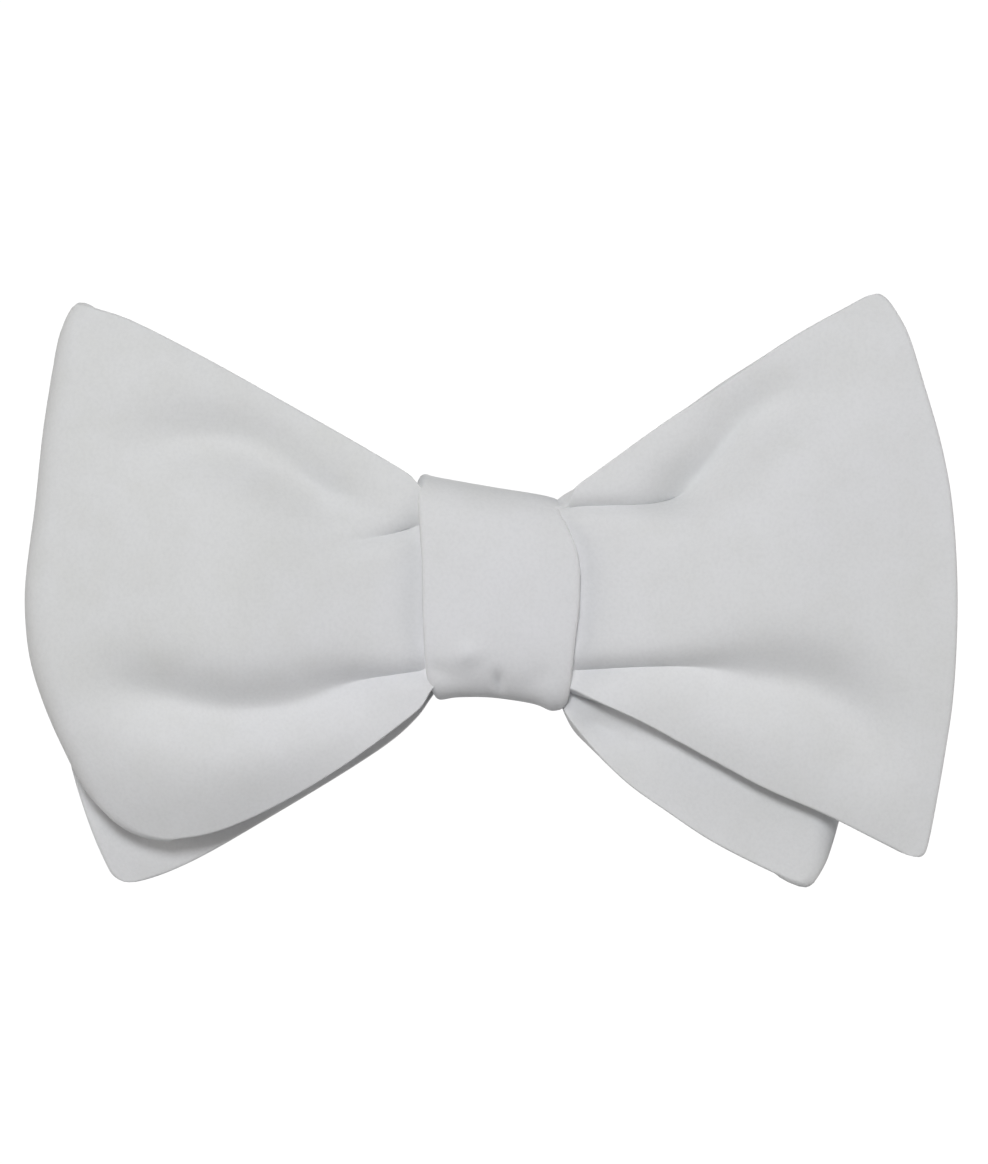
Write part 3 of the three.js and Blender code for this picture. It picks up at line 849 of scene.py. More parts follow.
@dataclass
class Bow:
    """The two strips of cloth that make the bow, as four lobes."""

    front_loop: Lobe = Lobe(
        name="front_loop_cloth",
        side=Side.LEFT,
        body=Body.LEFT_WING,
        nodes=("front_loop_outer_cloth", "front_loop_interlining", "front_loop_inner_cloth"),
        flat=(67, 118),
        flat_share=0.72,
        root_y=-12.05,
        setback=2.4,
        stand=0.9,
        swell=5.0,
        crest=0.6,
        folded=True,
        outline=Outline(
            top=(
                (4, 10.6), (8, 11.6), (10.2, 13.6), (12.2, 15.3), (24.8, 22.5), (37.4, 29.3), (46.2, 33.9),
                (51.2, 35.7),
            ),
            bottom=(
                (4, -10.6), (8, -12.4), (10.2, -15.4), (18.1, -21.1), (27.7, -26.7), (35.6, -30.3),
                (41.5, -31.5),
            ),
            tip=(
                (41.5, -31.5), (46.7, -30.5), (50.4, -28.4), (53.0, -25.3), (55.2, -20.8), (57.6, -15),
                (59.4, -8.8), (60, -2.5), (59.8, 2.5), (58.7, 11.3), (57.7, 21.4), (56.4, 30.2),
                (55.7, 33.6), (54.7, 35.4), (53.2, 36.1), (51.2, 35.7),
            ),
        ),
        panels=(
            Panel(
                top=((0, 8.6), (9.8, 8.3), (15, 6.4), (19.8, 5.6), (25.3, 6.2), (28.4, 10.2), (33, 14)),
                bottom=((0, -9.6), (9.8, -9.8), (19.8, -10.4), (25.3, -12.0), (31.2, -13.0), (36, -12.5)),
                lift=0.25, fades_from=10, fades_to=32, softness=3.0,
            ),
        ),
        creases=(
            # the fold above the middle panel, where it leaves the knot
            Crease(
                path=((9, 8.4), (13, 7.0), (18, 5.8), (23, 5.0), (27.5, 5.6)),
                lift=-1.2, width=0.9, spread=1.8, fade_out=0.6,
            ),
            # the valley that it opens into
            Crease(
                path=((14, 10.6), (20, 10.9), (26, 14.8), (31, 18.2), (37, 19.0), (45, 17.8), (52, 15.0)),
                lift=-4.2, width=3.6, spread=1.6, fade_in=0.2,
            ),
            # the ridge along the top edge
            Crease(
                path=((24, 21), (36, 28), (52, 36)),
                lift=1.5, width=6.0, spread=1.2, fade_in=0.2, fade_out=0.2,
            ),
            # the fold below the middle panel
            Crease(
                path=((8, -10.0), (14, -10.6), (20, -11.2), (26, -12.6)),
                lift=-1.5, width=1.1, spread=2.0, fade_out=0.6,
            ),
            # the valley that it opens into
            Crease(
                path=((12, -12.0), (20, -12.8), (27, -14.4), (34, -15.0), (42, -13.4), (53, -11.0)),
                lift=-3.5, width=3.5, spread=1.3, fade_in=0.2, fade_out=0.25,
            ),
            # the lower edge, which rolls back towards the rear blade
            Crease(
                path=((12, -30), (26, -38), (40, -43), (56, -37), (67, -16)),
                lift=-5.2, width=9.0, spread=1.4, fade_in=0.1, fade_out=0.2,
            ),
        ),
    )
    rear_blade: Lobe = Lobe(
        name="rear_blade_cloth",
        side=Side.LEFT,
        body=Body.LEFT_WING,
        nodes=("rear_blade_face_cloth", "rear_blade_interlining", "rear_blade_back_cloth"),
        flat=(71, 55),
        flat_share=0.7,
        root_y=-6.45,
        setback=3.4,
        swell=0.0,
        edge_drop=1.8,
        outline=Outline(
            top=((4, 10.2), (8, 10.8), (12.2, 13.6), (24.8, 20.8), (37.4, 27.6), (44, 31.2), (48.5, 33.2)),
            bottom=(
                (4, -10.6), (7.6, -12.8), (10.2, -16.3), (14.7, -20.2), (24.8, -26.6), (36.1, -33.1),
                (42.4, -36.2), (45.5, -37.3),
            ),
            tip=(
                (45.5, -37.3), (47.6, -37.6), (49.1, -37.0), (50.1, -35.7), (52.6, -29.6), (55, -22),
                (56.6, -12), (57.4, 0), (57, 12), (55.8, 22), (54, 30), (52.8, 32.7), (50.8, 33.8),
                (48.5, 33.2),
            ),
        ),
        creases=(
            # the lower corner, which lifts towards the loop in front
            Crease(
                path=((20, -24), (28, -29), (38, -32), (48, -31), (54, -24)),
                lift=1.1, width=4.0, spread=1.3, fade_in=0.3, fade_out=0.2,
            ),
            # the fold that the loop in front presses in
            Crease(
                path=((8, -10.4), (15, -11.0), (22, -12.0), (28, -13.4)),
                lift=-0.8, width=1.6, spread=1.4, fade_out=0.5,
            ),
        ),
    )
    front_blade: Lobe = Lobe(
        name="front_blade_cloth",
        side=Side.RIGHT,
        body=Body.RIGHT_WING,
        nodes=("front_blade_face_cloth", "front_blade_interlining", "front_blade_back_cloth"),
        flat=(71, 55),
        flat_share=0.7,
        root_y=-12.05,
        setback=2.4,
        stand=0.9,
        swell=4.4,
        crest=0.52,
        outline=Outline(
            top=(
                (4, 10.2), (8, 11.0), (9.9, 13.0), (12.2, 14.7), (18.2, 19), (28.6, 26.3), (37.5, 32.0),
                (43, 35.1), (46.4, 37.0),
            ),
            bottom=(
                (4, -10.6), (8.7, -12.6), (12.2, -14), (18, -16.4), (23.4, -19.2), (28.8, -22.1),
                (34.2, -25), (41.4, -28.2), (48.2, -31.7), (51, -33.2),
            ),
            tip=(
                (51, -33.2), (52.6, -33.9), (53.9, -33.9), (54.7, -32.7), (55.8, -26.4), (56.8, -20.1),
                (57.7, -12.6), (58.1, -1), (57.5, 10.1), (56.1, 18.2), (53.8, 26.5), (52.2, 31.9),
                (50.9, 34.6), (49.5, 36.7), (48, 37.6), (46.4, 37.0),
            ),
        ),
        panels=(
            Panel(
                top=((0, 9.6), (9.2, 9.7), (16.7, 9.9), (23.1, 10.6), (25.8, 12.5), (27.5, 15)),
                bottom=((0, -10), (9.6, -10.1), (16.7, -9.1), (24.7, -8.9), (32.6, -9.1), (40, -8)),
                lift=0.3, fades_from=12, fades_to=33, softness=2.0,
            ),
        ),
        creases=(
            # the fold above the middle panel, where it leaves the knot
            Crease(
                path=((8, 10.4), (14, 10.6), (20, 10.7), (25.5, 12.0), (28, 15)),
                lift=-2.0, width=0.9, spread=1.6, fade_out=0.5,
            ),
            # the valley that it opens into
            Crease(
                path=((17, 11.0), (23.5, 12.4), (27.4, 16.2), (30.5, 20.8), (37, 24.2), (47, 26.6)),
                lift=-4.6, width=3.3, spread=1.7, fade_in=0.15, fade_out=0.45,
            ),
            # the fold below the middle panel
            Crease(
                path=((8, -10.0), (16.7, -9.4), (24.7, -9.2), (34, -9.4)),
                lift=-1.3, width=0.9, spread=1.8, fade_out=0.5,
            ),
            # the soft shade beside that fold
            Crease(
                path=((8, -10.8), (16.7, -10.6), (24.7, -10.2), (34, -10.2)),
                lift=-1.0, width=2.0, spread=1.3, fade_out=0.3,
            ),
            # the dip where the lower flap turns down to the corner
            Crease(
                path=((22, -10.8), (31, -11.0), (38.5, -11.4), (44.2, -14.0), (48, -19.2), (51, -26)),
                lift=-3.5, width=3.9, spread=1.4, fade_in=0.3, fade_out=0.35,
            ),
            # the lower edge, which leans back
            Crease(
                path=((10, -22), (24, -29), (38, -36), (50, -42)),
                lift=-0.7, width=6.0, spread=1.3, fade_in=0.1, fade_out=0.2,
            ),
            # the lower corner, which curls back
            Crease(
                path=((42, -40), (54, -37), (62, -26), (64, -8)),
                lift=-2.0, width=8.5, spread=1.2, fade_in=0.1, fade_out=0.2,
            ),
        ),
    )
    rear_loop: Lobe = Lobe(
        name="rear_loop_cloth",
        side=Side.RIGHT,
        body=Body.RIGHT_WING,
        nodes=("rear_loop_outer_cloth", "rear_loop_interlining", "rear_loop_inner_cloth"),
        flat=(66, 96),
        flat_share=0.72,
        root_y=-9.25,
        setback=3.4,
        swell=0.5,
        folded=True,
        outline=Outline(
            top=((4, 9.8), (8, 10.4), (12.2, 13), (18.2, 17), (28.6, 23.5), (36, 27.4), (39.5, 29)),
            bottom=(
                (4, -10.6), (7.2, -12.6), (8.6, -15.8), (10.8, -18.9), (16.2, -24.3), (21.6, -28.2),
                (26.9, -31.8), (32.3, -34.7), (35.6, -36.3),
            ),
            tip=(
                (35.6, -36.3), (37.6, -37.2), (39.2, -37.5), (40.9, -37.2), (42.2, -36.1), (43.0, -34.3),
                (43.9, -31.1), (44.8, -27), (46.2, -15), (47, 0), (46.5, 12), (45.2, 22), (43.8, 27.2),
                (42, 29.3), (39.5, 29),
            ),
        ),
        creases=(
            # the fold beside the knot
            Crease(
                path=((11, -16.2), (17, -18.8), (22.5, -22.0)),
                lift=-1.2, width=1.8, spread=1.6, fade_out=0.6,
            ),
            # the fold that the blade in front presses in, above
            Crease(
                path=((8, 10.4), (14, 10.6), (20, 10.7), (25.5, 12.0)),
                lift=-1.3, width=1.2, spread=1.6, fade_out=0.5,
            ),
            # the same fold, below
            Crease(
                path=((8, -10.3), (16, -10.0), (24, -9.8), (34, -9.8)),
                lift=-1.4, width=1.5, spread=1.4,
            ),
            # the valley behind the front blade's valley
            Crease(
                path=((17, 11.0), (23.5, 12.4), (27.4, 16.2), (30.5, 20.8), (37, 24.2), (44, 25.8)),
                lift=-2.5, width=4.2, spread=1.6, fade_in=0.1, fade_out=0.3,
            ),
            # the lower edge, which leans back
            Crease(
                path=((10, -24), (22, -34), (36, -42), (46, -44)),
                lift=-0.9, width=8.0, spread=1.3, fade_in=0.1, fade_out=0.2,
            ),
        ),
    )

    def build(self, velvet: Material) -> None:
        """Build all four lobes.

        Args:
            velvet: The bow's velvet.
        """
        for lobe in (self.front_loop, self.rear_blade, self.front_blade, self.rear_loop):
            lobe.build(velvet)


@dataclass
class Knot:
    """The wrapped knot: the rear strip's throat, round the bow's waists and the band."""

    left_edge: tuple[Point, ...] = (
        (-13.6, -8.0), (-12, -8.9), (-8.5, -9.2), (-3.5, -9.4), (4, -9.5), (8.9, -9.9), (12.7, -10.2),
        (14.6, -10.1),
    )
    right_edge: tuple[Point, ...] = (
        (-15.3, 8.2), (-13, 9.2), (-9.7, 9.5), (-6, 9.9), (-2.3, 10.4), (2.7, 10.5), (6.4, 10.2),
        (9.4, 9.3), (11.5, 8.2),
    )
    top_edge: tuple[Point, ...] = (
        (-10.3, 14.3), (-9.2, 14.8), (-7.8, 14.4), (-1.1, 13.2), (5.1, 12.2), (7.6, 11.6), (10.4, 10.8),
    )
    bottom_edge: tuple[Point, ...] = (
        (-9.5, -13.0), (-7.6, -14.0), (-5.1, -13.7), (-1.1, -13.7), (2.9, -14.2), (5.2, -14.7),
        (6.8, -15.4), (8.2, -15.2), (9.6, -14.4),
    )
    front_y: float = -15.4
    back_y: float = -0.2
    dome: float = 0.8
    wrap: float = 1.7
    squareness: float = 3.2
    half_height: float = 13.5
    roll_steps: int = 8
    front_only: int = 4  # how quickly the dome and the creases die away round the sides
    around: int = 160
    across: int = 40
    edge_steps: int = 90
    creases: tuple[Crease, ...] = (
        # the pucker under the middle of the wrap
        Crease(
            path=((0.4, -15.2), (0.2, -12.6), (-0.1, -9.6)),
            lift=-3.4, width=0.65, spread=1.3, fade_out=0.5,
        ),
        # the swelling beside it
        Crease(
            path=((-4.6, -8.4), (-2.4, -7.8)),
            lift=1.5, width=1.5, fade_out=0.3,
        ),
        # the drag lines up to the lower right edge
        Crease(
            path=((2.4, -14.6), (4.5, -11.8), (8.4, -9.8)),
            lift=-0.7, width=1.2, spread=1.5, fade_out=0.6,
        ),
        # the drag lines to the lower left corner
        Crease(
            path=((-8.8, -9.6), (-5.4, -11.4), (-2.0, -13.4)),
            lift=-0.7, width=1.1, spread=1.5, fade_in=0.1, fade_out=0.6,
        ),
        # the roll along the top
        Crease(
            path=((-9.2, 10.8), (-2, 9.8), (6, 8.8)),
            lift=0.35, width=2.2, spread=1.5, fade_in=0.1, fade_out=0.6,
        ),
    )

    def build(self, velvet: Material) -> None:
        """Build the wrap as a closed sleeve with rolled edges.

        Args:
            velvet: The bow's velvet.
        """
        roll = self.wrap / 2
        section = [(b, 0.0, 0.0) for b in np.linspace(-1, 1, self.across)]
        for angle in np.linspace(0, math.pi, self.roll_steps)[1:-1]:
            section.append((1.0, roll * math.sin(angle), roll * (1 - math.cos(angle))))
        section += [(b, 0.0, self.wrap) for b in np.linspace(1, -1, self.across // 2)]
        for angle in np.linspace(math.pi, 0, self.roll_steps)[1:-1]:
            section.append((-1.0, -roll * math.sin(angle), roll * (1 - math.cos(angle))))
        across, beyond, depth = (np.array([point[k] for point in section]) for k in range(3))
        middle, half = (self.front_y + self.back_y) / 2, (self.back_y - self.front_y) / 2
        left, right = np.array(self.left_edge), np.array(self.right_edge)
        top, bottom = (smooth_path(edge, self.edge_steps) for edge in (self.top_edge, self.bottom_edge))
        columns = []
        for turn in np.arange(self.around) / self.around * 2 * math.pi:
            sine, cosine = math.sin(turn), -math.cos(turn)
            tall = math.copysign(abs(sine) ** (2 / self.squareness), sine)
            deep = math.copysign(abs(cosine) ** (2 / self.squareness), cosine)
            rough_up = self.half_height * tall
            low = np.interp(rough_up, left[:, 0], left[:, 1]) + roll
            high = np.interp(rough_up, right[:, 0], right[:, 1]) - roll
            x = low + (across + 1) / 2 * (high - low) + beyond
            near_edge = top if tall > 0 else bottom
            edge = math.copysign(1.0, tall) * np.interp(x, near_edge[:, 0], near_edge[:, 1])
            up = tall * (edge - depth)
            facing = max(0.0, -deep) ** self.front_only
            y = middle + deep * (half - depth)
            outer = 1 - depth / self.wrap
            y = y - facing * self.dome * (1 - across**2) * outer
            for crease in self.creases:
                y = y - facing * outer * crease.at(x, up)
            columns.append(np.stack([x, y, up], axis=1))
        vertices = np.concatenate(columns)
        faces = grid_faces(len(columns), len(section), wrap_columns=True, wrap_rows=True)
        piece = mesh_piece("knot_wrap_cloth", vertices, faces)
        face_outwards(piece)
        apply_modifier(piece, "SUBSURF", levels=1, render_levels=1)
        piece.data.materials.append(velvet)
        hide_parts("knot_wrap", "knot_wrap_interlining", "front_bow_waist", "rear_bow_waist")
        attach(piece, Body.KNOT.value)
        LOG.info("knot_wrap_cloth: %d vertices", len(piece.data.vertices))


# ---------------------------------------------------------------- the neckband


@dataclass(frozen=True)
class Collar:
    """The loop that the neckband follows, in plan, with the sizes that place the band and its hardware."""

    flat: float = 11.0
    inner_y: float = -2.4
    nape_radius: float = 57.0
    neck_depth: float = 128.0

    @property
    def nape_y(self) -> float:
        """Give the y of the middle of the nape's arc."""
        return self.neck_depth - self.nape_radius

    @property
    def quarter(self) -> float:
        """Give the length of a quarter of the nape's circle."""
        return self.nape_radius * math.pi / 2

    def nape(self, along: float) -> Place:
        """Give a place on the nape and the direction away from the neck.

        Args:
            along: Millimetres round the nape from its middle, towards +X.

        Returns:
            The place and the direction, each as x and y.
        """
        angle = along / self.nape_radius
        out = np.array([math.sin(angle), math.cos(angle)])
        return out * self.nape_radius + np.array([0, self.nape_y]), out

    def place(self, side: int, stretch: float) -> Place:
        """Give a place on the band's neck side and the direction away from the neck.

        Args:
            side: -1 for the left half and 1 for the right half.
            stretch: 0 to 1 along the flat, 1 to 2 along the side, and 2 to 3 along the nape.

        Returns:
            The place and the direction, each as x and y.
        """
        if stretch <= 1:
            return np.array([side * self.flat * stretch, self.inner_y]), np.array([0.0, -1.0])
        if stretch <= 2:
            wide, deep = self.nape_radius - self.flat, self.nape_y - self.inner_y
            angle = (stretch - 1) * math.pi / 2
            at = np.array([side * (self.flat + wide * math.sin(angle)), self.nape_y - deep * math.cos(angle)])
            out = np.array([side * deep * math.sin(angle), -wide * math.cos(angle)])
            return at, out / np.linalg.norm(out)
        return self.nape(side * (3 - stretch) * self.quarter)

    def run(self, side: int, start: float, along: float, count: int) -> list[Place]:
        """List places from near the knot to a place on the nape.

        Args:
            side: -1 for the left half and 1 for the right half.
            start: Millimetres from the middle of the knot.
            along: Where the run ends, in millimetres from the middle of the nape.
            count: How many places to list.

        Returns:
            The places, each with the direction away from the neck.
        """
        stretches = np.linspace(start / self.flat, 3 - abs(along) / self.quarter, count)
        return [self.place(side, float(stretch)) for stretch in stretches]


def rounded_section(near: float, far: float, low: float, high: float, corner: float) -> np.ndarray:
    """Outline a strip's cross-section with rounded corners.

    Args:
        near: The face nearest the neck, in millimetres out from the band's path.
        far: The face furthest from the neck.
        low: The lower edge.
        high: The upper edge.
        corner: The radius of the corners.

    Returns:
        Points as distance out and height, in order round the section.
    """
    points = []
    corner_steps, middle_steps = 4, 7
    for x, z, quarter in ((far, high, 0), (near, high, 1), (near, low, 2), (far, low, 3)):
        cx = x - corner if x == far else x + corner
        cz = z - corner if z == high else z + corner
        for k in range(corner_steps + 1):
            angle = (quarter + k / corner_steps) * math.pi / 2
            points.append((cx + corner * math.cos(angle), cz + corner * math.sin(angle)))
        if quarter in (1, 3):
            start, stop = (high - corner, low + corner) if quarter == 1 else (low + corner, high - corner)
            for z_between in np.linspace(start, stop, middle_steps + 2)[1:-1]:
                points.append((x, z_between))
    return np.array(points)


def sweep(name: str, places: Sequence[Place], section: np.ndarray) -> Piece:
    """Sweep a cross-section along places and close both ends with rounded caps.

    Args:
        name: The piece's name.
        places: Places in plan, each with the direction that the section's distances go.
        section: Points as distance out and height.

    Returns:
        The swept piece.
    """
    centre = section.mean(axis=0)
    rings = []
    for at, out in places:
        plan = at + section[:, :1] * out
        rings.append(np.column_stack([plan, section[:, 1]]))
    for index, neighbour in ((0, 1), (-1, -2)):
        at, out = places[index]
        away = at - places[neighbour][0]
        away = away / np.linalg.norm(away)
        shrunk = centre + (section - centre) * np.array(CAP_SHRINK)
        plan = at + shrunk[:, :1] * out + away * CAP_LENGTH
        cap = np.column_stack([plan, shrunk[:, 1]])
        rings.insert(0, cap) if index == 0 else rings.append(cap)
    count = len(section)
    faces = grid_faces(len(rings), count, wrap_rows=True)
    faces.append(list(range(count)))
    faces.append([(len(rings) - 1) * count + k for k in reversed(range(count))])
    piece = mesh_piece(name, np.concatenate(rings), faces)
    face_outwards(piece)
    return piece


def stitch_row(
    name: str, stitches: Sequence[tuple[np.ndarray, np.ndarray]], radius: float, thread: Material
) -> Piece:
    """Model one stitch and copy it to each place, as one piece.

    Args:
        name: The piece's name.
        stitches: The two ends of each stitch, in millimetres.
        radius: The thread's radius in millimetres.
        thread: The thread's material.

    Returns:
        The row of stitches.
    """
    bpy.ops.object.select_all(action="DESELECT")
    bpy.ops.mesh.primitive_uv_sphere_add(segments=6, ring_count=5, radius=1.0)
    pattern = bpy.context.object
    base = np.array([vertex.co[:] for vertex in pattern.data.vertices])
    shape = [list(polygon.vertices) for polygon in pattern.data.polygons]
    bpy.data.objects.remove(pattern, do_unlink=True)
    vertices, faces = [], []
    for start, end in stitches:
        along = (end - start) / 2
        half = np.linalg.norm(along)
        turn = Vector((0, 0, 1)).rotation_difference(Vector(along.tolist())).to_matrix()
        sized = base * np.array([radius, radius, half])
        faces += [[index + len(vertices) * len(base) for index in face] for face in shape]
        vertices.append(sized @ np.array(turn).T + (start + end) / 2)
    piece = mesh_piece(name, np.concatenate(vertices), faces)
    piece.data.materials.append(thread)
    return piece


@dataclass
class Neckband:
    """The velvet band with its satin lining, the adjuster strap, the eye tab and their stitching."""

    collar: Collar = field(default_factory=Collar)
    height: float = 19.0
    thickness: float = 2.5
    lining: float = 0.55
    lining_margin: float = 0.9
    left_end: float = -62.0
    tab_end: float = 19.0
    flex: float = 42.0
    flex_half: float = 10.0
    strap: float = 0.8
    strap_gap: float = 0.3
    strap_height: float = 16.0
    tail_end: float = -57.0
    hook_bar: float = -17.0
    eye_bar: float = 10.0
    bar_radius: float = 0.8
    spread: float = 5.0
    tucked: float = 4.0  # how far a strap runs inside the band
    seat: float = 0.05  # how far the cover and the lining sink into each other
    middle_seam: float = 0.2  # how far each half stops from the middle of the knot
    cover_corner: float = 0.85
    lining_corner: float = 0.25
    strap_corner: float = 0.3
    cover_cut: float = 24.0
    lining_cut: float = 20.0
    tack_half_height: float = 7.4
    tack_width: float = 1.8
    tack_inset: float = 2.2
    tack_stitches: int = 30
    tack_thread: float = 0.2
    slip_thread: float = 0.13
    slip_from: float = 10.4  # where the lining's stitches leave the knot
    slip_low: float = 0.12  # how far out from the neck a stitch starts, and ends
    slip_high: float = 0.45
    slip_inside: float = 0.35  # how far it reaches over the lining, and over the cover
    slip_outside: float = 0.3
    steps: int = 150
    run_steps: int = 40
    turn_steps: int = 17
    slip_steps: int = 130

    @property
    def strap_layers(self) -> float:
        """Give the thickness of the doubled strap."""
        return 2 * self.strap + self.strap_gap

    def flex_points(self) -> tuple[Spot, Spot]:
        """Place the hinge near the nape.

        Returns:
            Where the band starts and stops bending, in metres.
        """
        ends = []
        for along in (self.flex + self.flex_half, self.flex - self.flex_half):
            at, _ = self.collar.nape(along)
            ends.append((at[0] * MM, at[1] * MM, 0.0))
        return ends[0], ends[1]

    def build_strips(self, velvet: Material, satin: Material) -> None:
        """Build the velvet cover and the lining of both halves.

        Args:
            velvet: The band's velvet.
            satin: The lining's satin.
        """
        half = self.height / 2
        cover = rounded_section(self.lining - self.seat, self.thickness, -half, half, self.cover_corner)
        edge = half - self.lining_margin
        inside = rounded_section(0.0, self.lining + 2 * self.seat, -edge, edge, self.lining_corner)
        for side, end, name in ((-1, self.left_end, "left"), (1, self.tab_end, "right")):
            places = self.collar.run(side, self.middle_seam, end, self.steps)
            nodes = [f"band_velvet_{name}", f"band_interlining_{name}"]
            lining_nodes = [f"band_lining_{name}"]
            if side > 0:
                nodes += ["band_velvet_end", "band_interlining_end"]
                lining_nodes.append("band_lining_end")
            strips = (
                (f"band_{name}_cover", cover, velvet, "velvet", self.cover_cut, nodes),
                (f"band_{name}_lining", inside, satin, "lining", self.lining_cut, lining_nodes),
            )
            for strip in strips:
                self.finish_strip(places, *strip, bends=side > 0)

    def finish_strip(
        self,
        places: list[Place],
        name: str,
        section: np.ndarray,
        finish: Material,
        slot: str,
        cut_width: float,
        nodes: list[str],
        bends: bool,
    ) -> None:
        """Sweep one strip of the band and dress it; tie() ties it to the knot's body unless it crosses the
        hinge near the nape.

        Args:
            places: Where the strip runs.
            name: The piece's name.
            section: Its cross-section.
            finish: Its material.
            slot: Not used.
            cut_width: The width it was cut to. Not used.
            nodes: The CAD nodes that it stands for.
            bends: Whether it crosses the hinge near the nape.
        """
        piece = sweep(name, places, section)
        piece.data.materials.append(finish)
        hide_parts(*nodes)
        self.tie(piece, bends)

    def tie(self, piece: Piece, bends: bool) -> None:
        """Tie a piece to the knot's body, or, if it crosses the hinge near the nape, only bake its place.

        Args:
            piece: The piece.
            bends: Whether it crosses the hinge near the nape.
        """
        if not bends:
            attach(piece, Body.KNOT.value)
            return
        start, end = self.flex_points()
        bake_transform(piece)

    def turned_line(self, bar: float, outer_end: float, inner_end: float) -> list[Place]:
        """Trace a strap that turns round a bar and comes back on the neck side.

        Args:
            bar: The bar's place along the nape.
            outer_end: Where the outer run starts.
            inner_end: Where the inner run ends.

        Returns:
            Places along the middle of the strap, each with the direction across its thickness.
        """
        middle = self.strap_layers / 2
        turn_radius = self.bar_radius + self.strap_gap + self.strap / 2
        ahead_sign = math.copysign(1.0, bar - outer_end)

        def run(end: float, sign: int) -> list[np.ndarray]:
            """Trace one run of the strap.

            Args:
                end: Where it starts, along the nape.
                sign: 1 for the run away from the neck and -1 for the run beside it.

            Returns:
                Points from its end to the bar.
            """
            points = []
            for along in np.linspace(end, bar, self.run_steps)[:-1]:
                near = float(ease(1 - min(1.0, abs(bar - along) / self.spread)))
                at, out = self.collar.nape(float(along))
                apart = (self.strap + self.strap_gap) / 2 * (1 - near) + turn_radius * near
                points.append(at + out * (middle + sign * apart))
            return points

        foot, out = self.collar.nape(bar)
        centre = foot + out * middle
        ahead = np.array([out[1], -out[0]]) * ahead_sign
        turn = [
            centre + (out * math.cos(angle) + ahead * math.sin(angle)) * turn_radius
            for angle in np.linspace(0, math.pi, self.turn_steps)
        ]
        line = [*run(outer_end, 1), *turn, *reversed(run(inner_end, -1))]
        places = []
        for i, point in enumerate(line):
            step = line[min(i + 1, len(line) - 1)] - line[max(i - 1, 0)]
            step = step / np.linalg.norm(step)
            places.append((point, np.array([-step[1], step[0]])))
        return places

    def build_straps(self, satin: Material) -> None:
        """Build the adjuster strap and the eye tab.

        Args:
            satin: The straps' satin.
        """
        half, edge = self.strap / 2, self.strap_height / 2
        section = rounded_section(-half, half, -edge, edge, self.strap_corner)
        strap_start, tab_start = self.left_end - self.tucked, self.tab_end + self.tucked
        runs = (
            ("adjuster_strap", self.hook_bar, strap_start, self.tail_end, Body.KNOT),
            ("eye_tab", self.eye_bar, tab_start, tab_start, Body.BAND_END),
        )
        for node, bar, outer_end, inner_end, body in runs:
            name = f"{node}_ribbon"
            places = self.turned_line(bar, outer_end, inner_end)
            piece = sweep(name, places, section)
            piece.data.materials.append(satin)
            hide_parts(node)
            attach(piece, body.value)

    def zigzag(self, along: float, out: float) -> list[tuple[np.ndarray, np.ndarray]]:
        """List the stitches of a bartack.

        Args:
            along: Its place along the nape.
            out: How far out its face is.

        Returns:
            The two ends of each stitch.
        """
        stitches = []
        heights = np.linspace(-self.tack_half_height, self.tack_half_height, self.tack_stitches + 1)
        for i in range(self.tack_stitches):
            ends = []
            for k in (0, 1):
                aside = self.tack_width / 2 if (i + k) % 2 else -self.tack_width / 2
                at, away = self.collar.nape(along + aside)
                ends.append(np.array([*(at + away * out), heights[i + k]]))
            stitches.append((ends[0], ends[1]))
        return stitches

    def build_stitching(self, thread: Material) -> None:
        """Build the bartacks and the lining's edge stitches.

        Args:
            thread: The thread's material.
        """
        face = self.thickness + self.seat
        tacks = (
            ("strap_bartack", self.left_end - self.tack_inset, Body.KNOT),
            ("eye_tab_bartack", self.tab_end + self.tack_inset, Body.BAND_END),
        )
        for node, along, body in tacks:
            piece = stitch_row(f"{node}_stitches", self.zigzag(along, face), self.tack_thread, thread)
            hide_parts(node)
            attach(piece, body.value)
            LOG.info("%s", piece.name)
        edge = self.height / 2 - self.lining_margin
        for side, end, name in ((-1, self.left_end, "left"), (1, self.tab_end, "right")):
            places = self.collar.run(side, self.slip_from, end, self.slip_steps)
            stitches = []
            for (at, out), (at_next, _) in list(zip(places, places[1:]))[::2]:
                for sign in (-1, 1):
                    start = np.array([*(at + out * self.slip_low), sign * (edge - self.slip_inside)])
                    middle = (at + at_next) / 2 + out * self.slip_high
                    stop = np.array([*middle, sign * (edge + self.slip_outside)])
                    stitches.append((start, stop))
            piece = stitch_row(f"lining_{name}_slip_stitches", stitches, self.slip_thread, thread)
            self.tie(piece, side > 0)
            LOG.info("%s", piece.name)


